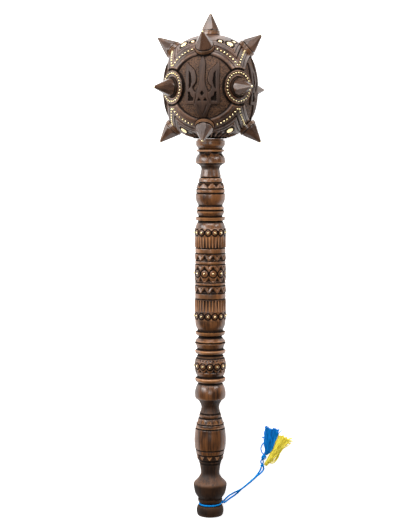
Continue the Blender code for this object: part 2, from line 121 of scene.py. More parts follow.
def unit(vectors):
    """Vectors brought to a length of one."""
    return vectors / np.linalg.norm(vectors, axis=-1, keepdims=True)


def outward(azimuth, elevation):
    """Unit vectors out of the head: azimuth turns left from the front, elevation rises to the crown."""
    a, e = np.radians(azimuth), np.radians(elevation)
    return np.stack([-np.sin(a) * np.cos(e), np.sin(e) + 0 * a, np.cos(a) * np.cos(e)], axis=-1)


def reach(d, equator, pole):
    """How far the ball's surface is from the centre along each direction."""
    level = np.hypot(d[:, 0], d[:, 2]) / equator
    return (level**FULLNESS + (abs(d[:, 1]) / pole) ** FULLNESS) ** (-1 / FULLNESS)


def over_medallion(points, equator, pole):
    """Directions to points of the ball that lie over plan points (x, y) of the front medallion."""
    x, y = np.asarray(points, float).T
    level = equator * (1 - np.minimum(1, abs(y) / pole) ** FULLNESS) ** (1 / FULLNESS)
    return unit(np.stack([x, y, np.sqrt(np.maximum(1.0, level**2 - x**2))], axis=-1))


def turned_about(d, azimuth):
    """Directions turned to the left round the shaft's axis."""
    cosine, sine = math.cos(math.radians(azimuth)), math.sin(math.radians(azimuth))
    return np.stack([d[:, 0] * cosine - d[:, 2] * sine, d[:, 1], d[:, 0] * sine + d[:, 2] * cosine], axis=-1)


def circle(radius, spacing, centre=(0.0, 0.0)):
    """Plan points round a circle, the first one repeated at the end."""
    count = max(8, round(2 * math.pi * radius / spacing))
    t = np.linspace(0, 2 * math.pi, count + 1)
    return np.stack([centre[0] + radius * np.cos(t), centre[1] + radius * np.sin(t)], axis=-1)


def around(middle, axis, radius, spacing):
    """Directions to a circle about a middle point, square to an axis."""
    side = np.cross([0.0, 1.0, 0.0] if abs(axis[1]) < 0.9 else [1.0, 0.0, 0.0], axis)
    side /= np.linalg.norm(side)
    ring = circle(radius, spacing)
    return unit(middle + ring[:, :1] * side + ring[:, 1:] * np.cross(axis, side))


def round_cut(axis, radius, height, spacing=0.9):
    """Directions to a circle about an axis out of the head, at that height along it."""
    return around(axis * height, axis, radius, spacing)


def divided(line, spacing):
    """A line of plan points with further points between them."""
    found = []
    for a, b in zip(line, line[1:]):
        steps = max(1, round(float(np.hypot(*(b - a))) / spacing))
        found += [a + (b - a) * i / steps for i in range(steps)]
    return np.array([*found, line[-1]])


def grown(line, distance):
    """A closed line of plan points moved outwards by a distance, or inwards if that is negative."""
    ring = line[:-1]
    before, after = np.roll(ring, 1, axis=0), np.roll(ring, -1, axis=0)
    if (ring[:, 0] * after[:, 1] - after[:, 0] * ring[:, 1]).sum() > 0:
        distance = -distance
    one, two = ring - before, after - ring
    middle = sum(unit(np.stack([-edge[:, 1], edge[:, 0]], axis=-1)) for edge in (one, two))
    middle *= 2 / np.maximum(0.9, (middle**2).sum(axis=1))[:, None]
    moved = ring + middle * distance
    return np.vstack([moved, moved[:1]])


# The trident's right half, from its top point down to its foot, and the openings in it
prong = [(0, 34.8), (1.5, 32.2), (3.0, 28.9), (3.6, 25), (3.4, 18.9), (3.0, 12), (3.0, 7.4), (3.6, 3),
         (4.9, -0.7), (5.9, -3.8), (8.1, -6.6)]
inner_wing = [(10.1, -4.6), (11.6, -1.9), (11.5, 0), (8.7, 2.9), (7.3, 5.9), (7.0, 9.1), (7.8, 14.1),
              (9.3, 18.4), (11.9, 21.4), (15.6, 24.5), (19.0, 28.3)]
outer_wing = [(20.0, 23.3), (19.9, -3.5), (20.5, -11), (20.2, -17.8), (19.4, -19.8)]
foot = [(10.5, -19.8), (8.6, -24), (7.0, -26.5), (5.5, -30), (4.5, -32.3), (1.8, -35.6), (0, -36.3)]
slot_opening = [(15.9, 17.9), (13.8, 15.2), (12.6, 9.2), (12.4, 5.9), (13.6, 0.4), (15.9, -2.6)]
corner_opening = [(16.8, -5.8), (14.7, -5.8), (13.5, -10.1), (10.4, -12.4), (10.7, -16.0), (16.7, -16.2)]
diamond_opening = [(0, -4.6), (2.35, -7.6), (0, -10.6), (-2.35, -7.6)]
triangle_opening = [(3.65, -12.3), (1.3, -15.9), (5.8, -15.9)]
ribbon_line = [(6.4, -5.6), (7.2, -8.4), (7.4, -12.6), (9.4, -19.0)]
foot_line = [(0, -31.8), (3.4, -25.2), (5.2, -20.6)]
half_outline = prong + inner_wing + outer_wing + foot
trident_outline = np.array(half_outline + [(-x, y) for x, y in half_outline[-2:0:-1]] + half_outline[:1],
                           float)
right_openings = [np.array(hole + hole[:1], float)
                  for hole in (slot_opening, corner_opening, triangle_opening)]
left_openings = [hole * (-1, 1) for hole in right_openings]
diamond = np.array(diamond_opening + diamond_opening[:1], float)
trident_edges = [trident_outline, diamond, *right_openings, *left_openings]
trident_cuts = [np.array(line, float) * (side, 1) for line in (ribbon_line, foot_line) for side in (1, -1)]
for line in (*trident_edges, *trident_cuts):
    line[:, 0] = line[:, 0] * TRIDENT_WIDTH + TRIDENT_SHIFT


def from_line(x, y, line):
    """The distance of each plan point from a line of points."""
    nearest = np.full(len(x), NOWHERE)
    for (ax, ay), (bx, by) in zip(line, line[1:]):
        ex, ey = bx - ax, by - ay
        t = np.clip(((x - ax) * ex + (y - ay) * ey) / (ex * ex + ey * ey), 0, 1)
        nearest = np.minimum(nearest, np.hypot(x - ax - t * ex, y - ay - t * ey))
    return nearest


def inside(x, y, line):
    """Whether each plan point is inside a closed line."""
    found = np.zeros(len(x), bool)
    for (ax, ay), (bx, by) in zip(line, line[1:]):
        if ay != by:
            found ^= ((y < ay) != (y < by)) & (x < ax + (bx - ax) * (y - ay) / (by - ay))
    return found


def beyond_trident(x, y):
    """The distance of each plan point outside the trident's edges, negative on its wood."""
    distance, wood = np.full(len(x), NOWHERE), np.zeros(len(x), bool)
    for line in trident_edges:
        distance = np.minimum(distance, from_line(x, y, line))
        wood ^= inside(x, y, line)
    return np.where(wood, -distance, distance)


def ramp(value, start, end):
    """0 before start, 1 after end and a straight slope between them; start may be the larger."""
    return np.clip((value - start) / (end - start), 0, 1)


def groove(distance, width, depth):
    """The depth of a V-shaped groove at a distance from its middle."""
    return depth * np.maximum(0, 1 - 2 * abs(distance) / width)


def on_head(azimuth, elevation):
    """A frame in millimetres whose z points out of the head there, and whose y points along the meridian."""
    out = Vector(outward(azimuth, elevation))
    up = Vector(outward(azimuth, elevation + 90))
    return Matrix((up.cross(out), up, out)).transposed().to_4x4()


# Every spike's name, the frame of its collar's underside, its collar's height and its point's length
spikes = []


def stand_spike(name, spot, tip, collar, point, leaning=0, longer=0):
    """Notes a spike whose tip, were it true, would stand that far from the head's middle."""
    seat = Matrix.Translation((0, 0, tip - point - POINT_NECK - collar))
    stand = spot @ seat @ Matrix.Rotation(math.radians(leaning), 4, "X")
    spikes.append((name, stand, collar, point + longer))


stand_spike("crown", on_head(0, 90), CROWN_TIP, RING_COLLAR, RING_POINT)
for level, sign in (("upper", 1), ("lower", -1)):
    for azimuth in SIDES:
        raised, leaning, longer = OFF_TRUE.get((level, azimuth), (0, 0, 0))
        stand_spike(f"{level}_{azimuth}", on_head(azimuth, sign * SPIKE_RING + raised), RING_TIP, RING_COLLAR,
                    RING_POINT, leaning, longer)
for azimuth in CORNERS:
    stand_spike(f"boss_{azimuth}", on_head(azimuth, 0), BOSS_TIP, BOSS_COLLAR, BOSS_POINT)


def spike_seats():
    """The middle and the axis of every seat that is cut flat on the ball."""
    for name, stand, _, _ in spikes:
        if not name.startswith("boss"):
            axis = np.array(stand.col[2][:3])
            yield np.array(stand.translation) - SPIKE_GAP * axis, axis


boss_axis = outward(-45.0, 0.0)


def over_quarter(d):
    """Directions turned and mirrored onto one half of the front medallion, and the azimuths of them all."""
    azimuth = np.degrees(np.arctan2(-d[:, 0], d[:, 2]))
    turn = np.radians(abs(azimuth - 90 * np.round(azimuth / 90)))
    level = np.hypot(d[:, 0], d[:, 2])
    return np.stack([level * np.sin(turn), d[:, 1], level * np.cos(turn)], axis=-1), azimuth


def neck_bevel(d):
    """How far the bevels at the neck are from the centre along each direction."""
    level, nearest = np.hypot(d[:, 0], d[:, 2]), NOWHERE
    for (edge_y, edge_r), (foot_y, foot_r) in NECK_BEVELS:
        slope = np.array([foot_y - edge_y, edge_r - foot_r]) / math.hypot(foot_y - edge_y, edge_r - foot_r)
        facing = slope[0] * level - slope[1] * d[:, 1]
        nearest = np.minimum(nearest, (slope[0] * edge_r + slope[1] * edge_y) / np.maximum(0.2, facing))
    return np.where(d[:, 1] < -0.5, nearest, NOWHERE)


def cut_neck(height, d, azimuth, ball, bed):
    """Cuts the bevels at the neck with their ring of chips, and the flat seat on the shaft."""
    bevel = neck_bevel(d)
    down = -d[:, 1] * np.minimum(height, bevel)
    share = azimuth * NECK_CHIPS / 360 % 1
    chip = NECK_CHIP_DEPTH * (ramp(down, *NECK_CHIP_ENDS) * ramp(abs(share - 0.5), 0.46, 0.1))
    seat = NECK_SEAT / np.maximum(0.2, -d[:, 1])
    cut_by = np.min([ball, bevel, seat], axis=0) - np.minimum(height, bevel - chip)
    # Painted shade in the chips, and a band of painted shadow under the head at the neck
    painted_shade = CHIP_SHADE * ramp(cut_by, 0.25, 0.9)
    painted_shade = np.maximum(painted_shade * ramp(bed, BEAD_BED, BEAD_BED + 0.3), ramp(down, *NECK_SHADOW))
    return np.min([height, bevel - chip, seat], axis=0), painted_shade


def sink_medallions(height, painted_shade, folded, azimuth, rho, rough):
    """Sinks the medallions, with a chamfered lip and a wall, and leaves their tridents on punched ground."""
    ground = reach(folded, GROUND_EQUATOR, GROUND_POLE)
    relief = reach(folded, GROUND_EQUATOR + TRIDENT_RISE, GROUND_POLE)
    over_x = np.where(azimuth < 90 * np.round(azimuth / 90), 1, -1) * folded[:, 0] * relief
    over_y = folded[:, 1] * relief
    beyond = beyond_trident(over_x, over_y)
    cut = [groove(from_line(over_x, over_y, line), *TRIDENT_LINE) for line in trident_cuts]
    sunk = ground + rough * ramp(beyond, 0.3, 0.9) * ramp(rho, LIP_WALL - 0.2, LIP_WALL - 0.9)
    raised = relief - TRIDENT_EDGE_DROP * ramp(beyond, -TRIDENT_EDGE, 0) - np.max(cut, axis=0)
    floor = sunk + (raised - sunk) * ramp(beyond, WALL, 0)
    lip = height - LIP_CUT * ramp(rho, LIP, LIP_CHAMFER)
    walled = lip + (np.minimum(floor, lip) - lip) * ramp(rho, LIP_CHAMFER, LIP_WALL)
    height = np.where(rho < LIP, walled, height)
    # Painted shade on the lip's wall, black in the trident's openings, and over the sunk ground and the
    # trident
    painted_shade = np.where(rho < LIP, ramp(abs(rho - LIP_WALL), 0.7, 0.3), painted_shade)
    painted_shade = np.where((rho < LIP_WALL - 0.5) & (beyond < 0.5), ramp(beyond, -0.1, 0.2), painted_shade)
    for line in trident_edges[1:]:
        painted_shade = np.maximum(painted_shade, 1.0 * (inside(over_x, over_y, line) & (rho < LIP_WALL)))
    painted_shade = np.maximum(painted_shade, np.where(beyond < 0, TRIDENT_SHADE, GROUND_SHADE) * (rho < LIP_WALL))
    return height, painted_shade


def cut_bosses(height, painted_shade, folded, on_ball):
    """Cuts the bosses: a groove, a wall, a flat ring with beds for its beads, and the well for the spike."""
    cosine = np.maximum(0.1, folded @ boss_axis)
    across = BOSS_FACE * np.sqrt(1 / cosine**2 - 1)
    sideways = (on_ball[:, 0] - on_ball[:, 2]) * math.sqrt(0.5)
    bearing = np.degrees(np.arctan2(on_ball[:, 1], sideways))
    in_groove = ramp(across, BOSS_GROOVE + 0.9, BOSS_GROOVE + 0.3)
    height -= BOSS_GROOVE_DEPTH * in_groove * ramp(height, *BOSS_GROOVE_FADE)
    # Painted shade in the groove round the boss and in the spike's well, none on the boss's face
    painted_shade = np.maximum(painted_shade, ramp(across, BOSS_GROOVE + 1.7, BOSS_GROOVE + 0.9))
    pitch = 360 / BOSS_BEAD_COUNT
    bead_turn = np.radians(bearing - pitch * np.round(bearing / pitch)) * BOSS_BEADS
    bed = np.hypot(across - BOSS_BEADS, bead_turn)
    line, width, depth = BOSS_LINE
    face = BOSS_FACE / cosine - BEAD_BED_DEPTH * ramp(bed, BEAD_BED, BEAD_BED_FLOOR)
    face -= BOSS_EDGE_DROP * ramp(across, BOSS_SOFT_EDGE, BOSS_EDGE) + groove(across - line, width, depth)
    height += (face - height) * ramp(across, BOSS_EDGE + WALL, BOSS_EDGE)
    height += (WELL_FLOOR / cosine - height) * ramp(across, WELL_EDGE, WELL_EDGE - WALL)
    painted_shade = np.where(across < BOSS_EDGE, 0.0, painted_shade)
    painted_shade = np.maximum(painted_shade, ramp(across, WELL_EDGE + 0.1, WELL_EDGE - 0.2))
    return height, painted_shade


def disc_seat(azimuth, elevation):
    """The middle of a disc on the ball, and the ball's normal there, on the right of the front medallion."""
    d = outward(-azimuth, elevation)[None]
    centre = (d * reach(d, EQUATOR, POLE)[:, None])[0]
    level = math.hypot(centre[0], centre[2])
    steep = (abs(centre[1]) / POLE) ** (FULLNESS - 1) / POLE
    flat = (level / EQUATOR) ** (FULLNESS - 1) / EQUATOR
    normal = np.array([centre[0] / level * flat, math.copysign(steep, centre[1]), centre[2] / level * flat])
    return centre, normal / np.linalg.norm(normal)


def cut_seats(height, painted_shade, d, folded):
    """Cuts flat seats under the other spikes, and the seats of the brass discs."""
    # Painted shade rings the edges of the spikes' and the discs' seats
    for middle, axis in spike_seats():
        flat = (middle @ axis) / np.maximum(0.1, d @ axis)
        across = np.linalg.norm(np.cross(d * flat[:, None] - middle, axis), axis=1)
        under = np.minimum(height, flat)
        height += (under - height) * ramp(across, SEAT_EDGE + 0.2, SEAT_EDGE - 0.1)
        painted_shade = np.maximum(painted_shade, ramp(across, SEAT_EDGE + 0.3, SEAT_EDGE))
    for turn_to, lift, radius in DISC_SEATS:
        centre, normal = disc_seat(turn_to, lift)
        flat = (centre @ normal - DISC_SUNK) / np.maximum(0.1, folded @ normal)
        away = np.linalg.norm(np.cross(folded * flat[:, None] - centre, normal), axis=1)
        height += (flat - height) * ramp(away, radius, radius - DISC_SEAT_WALL)
        painted_shade = np.maximum(painted_shade, ramp(away, radius + 0.4, radius + 0.1))
    return height, painted_shade


def head_height(d, rough):
    """The carved surface's distance from the centre, with rough as the unevenness of punched ground, and how
    much painted shade is put in the cuts."""
    folded, azimuth = over_quarter(d)
    ball = reach(folded, EQUATOR, POLE)
    on_ball = folded * ball[:, None]
    x, y, _ = on_ball.T
    rho, position = np.hypot(x, y), np.degrees(np.arctan2(x, abs(y)))

    # The frame round each medallion: grooves and beds for the beads
    height = ball.copy()
    for middle, width, depth in FRAME_GROOVES:
        height -= groove(rho - middle, width, depth)
    nearest = np.min([abs(position - angle) for angle in BEAD_ANGLES], axis=0)
    bed = np.hypot(rho - BEAD_ROW, np.radians(nearest) * BEAD_ROW)
    height -= BEAD_BED_DEPTH * ramp(bed, BEAD_BED, BEAD_BED_FLOOR)

    # The drilled dots
    for spot, lift in DRILLED:
        away = np.linalg.norm(folded - outward(-spot, lift), axis=1) * EQUATOR
        height -= DRILL_DEPTH * ramp(away, DRILL_EDGE, DRILL_FLOOR)

    height, painted_shade = cut_neck(height, d, azimuth, ball, bed)
    height, painted_shade = sink_medallions(height, painted_shade, folded, azimuth, rho, rough)
    height, painted_shade = cut_bosses(height, painted_shade, folded, on_ball)
    return cut_seats(height, painted_shade, d, folded)


def bead_spots():
    """Plan points of the beads in the frame round the front medallion."""
    for quarter in (0, 180):
        for sign in (-1, 1):
            for angle in BEAD_ANGLES:
                turn = math.radians(quarter + sign * angle)
                yield BEAD_ROW * math.sin(turn), BEAD_ROW * math.cos(turn)


def medallion_lines():
    """The lines of the front medallion, its frame and the boss and discs at its right, as directions."""
    plans, made = [circle(radius, 1.1) for radius in (LIP, LIP_CHAMFER, LIP_WALL)], []
    for middle, width, _ in FRAME_GROOVES:
        for radius in (middle - width / 2, middle, middle + width / 2):
            for quarter in (0, 180):
                t = np.radians(np.linspace(quarter - 60, quarter + 60, 110))
                plan = np.stack([radius * np.sin(t), radius * np.cos(t)], axis=-1)
                arc = over_medallion(plan, EQUATOR, POLE)
                made.append(arc[abs(arc[:, 0]) <= arc[:, 2]])
    for spot in bead_spots():
        plans += [circle(BEAD_BED, 1.2, spot), circle(BEAD_BED_FLOOR, 0.8, spot)]
    made += [over_medallion(plan, EQUATOR, POLE) for plan in plans]
    raised_lines = [grown(line, shift if line is trident_outline else -shift)
                    for line in trident_edges for shift in (WALL, 0.0, -TRIDENT_EDGE)]
    for line in raised_lines + trident_cuts:
        made.append(over_medallion(divided(line, 0.9), GROUND_EQUATOR + TRIDENT_RISE, GROUND_POLE))
    for radius in (BOSS_GROOVE + 0.4, BOSS_GROOVE, BOSS_EDGE + WALL, BOSS_EDGE, BOSS_SOFT_EDGE, BOSS_LINE[0],
                   WELL_EDGE, WELL_EDGE - WALL):
        made.append(round_cut(boss_axis, radius, BOSS_FACE))
    side = np.array([math.cos(math.pi / 4), 0, -math.sin(math.pi / 4)])
    for i in range(BOSS_BEAD_COUNT):
        t = 2 * math.pi * i / BOSS_BEAD_COUNT
        spot = boss_axis * BOSS_FACE + BOSS_BEADS * (math.cos(t) * side + math.sin(t) * np.array([0, 1, 0]))
        spot /= np.linalg.norm(spot)
        made += [round_cut(spot, BEAD_BED, BOSS_BEAD_REACH, 1.2),
                 round_cut(spot, BEAD_BED_FLOOR, BOSS_BEAD_REACH, 0.8)]
    for turn_to, lift, radius in (*DISC_SEATS, (-SMALL_DISC[0], *SMALL_DISC[1:])):
        centre, normal = disc_seat(turn_to, lift)
        for edge in (radius, radius - DISC_SEAT_WALL):
            made.append(around(centre - normal * DISC_SUNK, normal, edge, 0.9))
    for spot, lift in (*DRILLED, (-DRILLED[2][0], DRILLED[2][1])):
        made += [round_cut(outward(-spot, lift), radius, EQUATOR, 0.7)
                 for radius in (DRILL_EDGE, DRILL_FLOOR)]
    return made


def head_lines():
    """Every line of the carving that the mesh has to follow, as directions."""
    quarter = medallion_lines()
    lines = [turned_about(line, azimuth) for azimuth in SIDES for line in quarter]
    for middle, axis in spike_seats():
        lines += [around(middle, axis, radius, 0.9) for radius in (SEAT_EDGE + 0.2, SEAT_EDGE - 0.1)]
    down = np.array([0.0, -1.0, 0.0])
    for depth, radius in (NECK_BEVELS[0][0], *NECK_BEVELS[1], (NECK_SEAT, 15.0), (NECK_SEAT, NECK_CORE)):
        lines.append(round_cut(down, radius, depth, 0.7))
    return lines


def flattened(d):
    """Directions as plane points, seen from the neck, so that small circles stay circles."""
    return np.stack([d[:, 0], d[:, 2]], axis=-1) / (1 + d[:, 1])[:, None]


def spread_over_ball(spacing):
    """Directions spread evenly over the head, down to the neck."""
    count = round(4 * math.pi * MEAN_RADIUS**2 / (0.866 * spacing**2))
    i = np.arange(count)
    y = 1 - (2 * i + 1) / count
    turn = i * math.pi * (3 - math.sqrt(5))
    level = np.sqrt(1 - y * y)
    d = np.stack([level * np.cos(turn), y, level * np.sin(turn)], axis=-1)
    return d[y > -NECK_SEAT / math.hypot(NECK_SEAT, NECK_CORE + 0.6)]


def clear_of(points, others, distance):
    """The points that are further than a distance from every other point."""
    tree = kdtree.KDTree(len(others))
    for i, other in enumerate(others):
        tree.insert(other, i)
    tree.balance()
    return points[[tree.find(point)[2] > distance for point in points]]


def net(points, lines):
    """Triangles through plane points, with every line kept as edges: (corners, triangles)."""
    corners, edges, start = [points], [], len(points)
    for line in lines:
        corners.append(line)
        edges += [(start + i, start + i + 1) for i in range(len(line) - 1)]
        start += len(line)
    joined = [Vector(point) for point in np.vstack(corners)]
    found = geometry.delaunay_2d_cdt(joined, edges, [], 0, 2e-6)
    return np.array([tuple(corner) for corner in found[0]]), np.array(found[2])


def mark(mesh, label, values, kind="FLOAT"):
    """Gives every point of a mesh a named value, or a vector."""
    layer = mesh.attributes.new(label, kind, "POINT")
    layer.data.foreach_set("vector" if kind == "FLOAT_VECTOR" else "value",
                           np.ravel(values).astype(np.float32))


def mesh_of_triangles(name, points, triangles):
    """A closed mesh whose faces point outwards."""
    mesh = bpy.data.meshes.new(name)
    mesh.vertices.add(len(points))
    mesh.loops.add(3 * len(triangles))
    mesh.polygons.add(len(triangles))
    mesh.vertices.foreach_set("co", points.astype(np.float32).ravel())
    mesh.loops.foreach_set("vertex_index", triangles.astype(np.int32).ravel())
    mesh.polygons.foreach_set("loop_start", np.arange(0, 3 * len(triangles), 3, dtype=np.int32))
    mesh.update(calc_edges=True)
    mesh.validate()
    a, b, c = (points[corner] for corner in triangles.T)
    if np.einsum("ij,ij->i", a, np.cross(b, c)).sum() < 0:
        mesh.flip_normals()
    return mesh


def carving(name, points, triangles, sharp, grain=None, outwards=None, painted_shade=None, punched=None, worn=None):
    """A closed carved mesh from points in millimetres. It knows how hollow or proud it is, where painted
    shade goes in its cuts and on its steep walls, where it is worn, where its ground is punched, and which
    way its
    grain runs: along y, or as the second set of points says."""
    mesh = mesh_of_triangles(name, points, triangles)
    normals = np.zeros(3 * len(points), np.float32)
    mesh.vertices.foreach_get("normal", normals)
    ends = np.vstack([triangles[:, [0, 1]], triangles[:, [1, 2]], triangles[:, [2, 0]]])
    ends = np.vstack([ends, ends[:, ::-1]])
    count = np.bincount(ends[:, 0], minlength=len(points)) + 1e-9

    def mean_of_neighbours(values):
        return np.stack([np.bincount(ends[:, 0], v[ends[:, 1]], len(points)) / count for v in values.T],
                        axis=-1)

    normals = normals.reshape(-1, 3)
    lengths = np.linalg.norm(points[ends[:, 0]] - points[ends[:, 1]], axis=1)
    spacing = np.bincount(ends[:, 0], lengths, len(points)) / count + 1e-6
    hollow = np.einsum("ij,ij->i", mean_of_neighbours(points) - points, normals) / spacing
    smooth = hollow[:, None]
    for _ in range(2):
        smooth = (smooth + mean_of_neighbours(smooth)) / 2
    wide = smooth
    for _ in range(6):
        wide = (wide + 2 * mean_of_neighbours(wide)) / 3
    shade_with_walls = painted_shade
    # Painted shade also goes on walls that face sideways, as steep as a cut's wall
    if outwards is not None:
        shade_with_walls = np.maximum(painted_shade, ramp(np.einsum("ij,ij->i", outwards, normals), 0.72, 0.4))
    for label, values in (("hollow", smooth[:, 0]), ("hollow_wide", wide[:, 0]), ("painted_shade", shade_with_walls),
                          ("punched", punched), ("worn", worn)):
        mark(mesh, label, np.zeros(len(points)) if values is None else values)
    mark(mesh, "grain_place", (points if grain is None else grain) / 1000, "FLOAT_VECTOR")
    mesh.shade_smooth()
    mesh.set_sharp_from_angle(angle=math.radians(sharp))
    return mesh


def in_scene(name, data):
    """A new object in the scene."""
    made = bpy.data.objects.new(name, data)
    bpy.context.scene.collection.objects.link(made)
    return made


def stand_in(name, mesh, slot, *nodes):
    """A finished piece in the scene that stands for those CAD nodes, if it has any."""
    piece = in_scene(name, mesh)
    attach(piece, "root")
    if nodes:
        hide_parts(*nodes)
    return piece


def in_recess(d):
    """Whether each direction falls in one of the medallions' grounds."""
    azimuth = np.arctan2(-d[:, 0], d[:, 2])
    turn = azimuth - math.pi / 2 * np.round(azimuth / (math.pi / 2))
    level = np.hypot(d[:, 0], d[:, 2])
    return np.hypot(level * np.sin(turn), d[:, 1]) * reach(d, EQUATOR, POLE) < LIP_WALL


# Points are spread finer in the recesses, and clear of the carving's lines
FINE, COARSE, LINE_CLEARANCE, GROUND_UNEVENNESS = 0.8, 1.35, 0.34, (-0.28, 0.12)
lines = head_lines()
fine, coarse = spread_over_ball(FINE), spread_over_ball(COARSE)
fill = np.vstack([fine[in_recess(fine)], coarse[~in_recess(coarse)]])
fill = clear_of(fill, np.vstack(lines), LINE_CLEARANCE / MEAN_RADIUS)
corners, triangles = net(flattened(fill), [flattened(line) for line in lines])
squares = (corners**2).sum(axis=1)
directions = np.stack([2 * corners[:, 0], 1 - squares, 2 * corners[:, 1]], axis=-1) / (1 + squares)[:, None]
unevenness = np.random.default_rng(12).uniform(*GROUND_UNEVENNESS, len(directions))
height, painted_shade = head_height(directions, unevenness)
surface = directions * height[:, None]

# The mesh ends in a ring under the shaft, and a fan closes it there
rim = np.where(squares > squares.max() * 0.999)[0]
rim = rim[np.argsort(np.arctan2(corners[rim, 1], corners[rim, 0]))]
surface = np.vstack([surface, [(0, -NECK_SEAT, 0)]])
fan = [(rim[i], rim[i - 1], len(surface) - 1) for i in range(len(rim))]
triangles = np.vstack([triangles, fan])
outwards = np.vstack([directions, [(0, -1, 0)]])
low = height < reach(directions, GROUND_EQUATOR + 0.8, GROUND_POLE + 0.8)
punched = np.r_[1.0 * (in_recess(directions) & low), 0]
head_mesh = carving("carved_head", surface, triangles, 50, outwards=outwards, painted_shade=np.r_[painted_shade, 0],
                    punched=punched)
head_mesh.transform(mace_frame)


def node_group(name, inputs, outputs, tree="ShaderNodeTree"):
    """An empty group with its named sockets: (group, its inputs' node, its outputs' node)."""
    group = bpy.data.node_groups.new(name, tree)
    for label, kind, *value in inputs:
        socket = group.interface.new_socket(label, in_out="INPUT", socket_type=kind)
        if value:
            socket.default_value = value[0]
    for label, kind in outputs:
        group.interface.new_socket(label, in_out="OUTPUT", socket_type=kind)
    return group, group.nodes.new("NodeGroupInput"), group.nodes.new("NodeGroupOutput")


def add(tree, kind, links=None, **values):
    """A node with its settings, then its inputs by socket name or number: values, or sockets to link from."""
    node = tree.nodes.new(kind)
    for label, value in values.items():
        setattr(node, label, value)
    for label, value in (links or {}).items():
        if isinstance(value, bpy.types.NodeSocket):
            tree.links.new(value, node.inputs[label])
        else:
            node.inputs[label].default_value = value
    return node


def mixed(tree, share, one, two):
    """The colour between two colours."""
    return add(tree, "ShaderNodeMix", {"Factor": share, 6: one, 7: two}, data_type="RGBA").outputs[2]


def noise(tree, scale, detail):
    """Noise that stays with the piece it is on."""
    here = add(tree, "ShaderNodeTexCoord").outputs["Object"]
    return add(tree, "ShaderNodeTexNoise", {"Vector": here, "Scale": scale, "Detail": detail}).outputs["Fac"]


def known(tree, label):
    """A value that the mesh knows."""
    return add(tree, "ShaderNodeAttribute", attribute_name=label).outputs["Fac"]


def eased(tree, value, low, high, start=0.0, end=1.0):
    """A value turned to start below low and to end above high, with a soft step between."""
    links = {"Value": value, "From Min": low, "From Max": high, "To Min": start, "To Max": end}
    return add(tree, "ShaderNodeMapRange", links, interpolation_type="SMOOTHSTEP").outputs["Result"]


def worked_out(tree, operation, *values):
    """A Math node's result."""
    return add(tree, "ShaderNodeMath", dict(enumerate(values)), operation=operation).outputs[0]


def product(tree, one, two):
    """One value times another."""
    return worked_out(tree, "MULTIPLY", one, two)


def larger(tree, one, two):
    """The larger of two values."""
    return worked_out(tree, "MAXIMUM", one, two)


# Walnut grain runs along the mace: long soft streaks, fine dark pores and slow changes from light to dark
grain, grain_in, grain_out = node_group(
    "walnut grain",
    [("Light", "NodeSocketColor", (0.2, 0.09, 0.04, 1)), ("Dark", "NodeSocketColor", (0.03, 0.012, 0.006, 1)),
     ("Streaks", "NodeSocketFloat", 1.0)],
    [("Colour", "NodeSocketColor"), ("Pores", "NodeSocketFloat")],
)
grain_place = add(grain, "ShaderNodeAttribute", attribute_name="grain_place").outputs["Vector"]
number = known(grain, "number")
shift = add(grain, "ShaderNodeCombineXYZ", {0: product(grain, number, 0.137),
                                            1: product(grain, number, 0.071)}).outputs[0]
level = add(grain, "ShaderNodeVectorMath", {0: grain_place, 1: shift}, operation="ADD").outputs[0]


def stretched_noise(scale, detail, roughness=0.55):
    """Noise with its own scale along each axis."""
    there = add(grain, "ShaderNodeMapping", {"Vector": level, "Scale": scale}).outputs[0]
    return add(grain, "ShaderNodeTexNoise", {"Vector": there, "Scale": 1.0, "Detail": detail,
                                             "Roughness": roughness}).outputs["Fac"]


streaks = stretched_noise((520, 16, 520), 4)
clouds = stretched_noise((60, 22, 60), 3)
pores = stretched_noise((2600, 110, 2600), 2)
figure = worked_out(grain, "MULTIPLY_ADD", worked_out(grain, "SUBTRACT", streaks, 0.5),
                    grain_in.outputs["Streaks"], clouds)
tone = mixed(grain, eased(grain, figure, 0.28, 0.72), grain_in.outputs["Dark"], grain_in.outputs["Light"])
pore_mask = eased(grain, pores, 0.6, 0.72)
tone = mixed(grain, product(grain, pore_mask, 0.5), tone, grain_in.outputs["Dark"])
grain.links.new(tone, grain_out.inputs["Colour"])
grain.links.new(pore_mask, grain_out.inputs["Pores"])

# Handling rubs the stain off proud edges, and hollows and cuts get painted shade
wear, wear_in, wear_out = node_group(
    "rubbed edges and painted shade in hollows",
    [("Wood", "NodeSocketColor", (0.1, 0.05, 0.02, 1)),
     ("Rubbed", "NodeSocketColor", (0.26, 0.115, 0.042, 1)),
     ("Hollow", "NodeSocketColor", (0.008, 0.0045, 0.003, 1)), ("Rub", "NodeSocketFloat", 0.8),
     ("Darkening", "NodeSocketFloat", 0.9)],
    [("Colour", "NodeSocketColor"), ("Rubbed part", "NodeSocketFloat"), ("Painted shade part", "NodeSocketFloat")],
)
hollow, hollow_wide = known(wear, "hollow"), known(wear, "hollow_wide")
patchy = eased(wear, noise(wear, 90.0, 3.0), 0.3, 0.7, 0.45, 1.0)
proud = eased(wear, hollow, -0.05, -0.2)
proud_wide = eased(wear, hollow_wide, -0.05, -0.15)
handled = product(wear, larger(wear, proud, proud_wide), wear_in.outputs["Rub"])
rubbed_part = product(wear, larger(wear, handled, known(wear, "worn")), patchy)
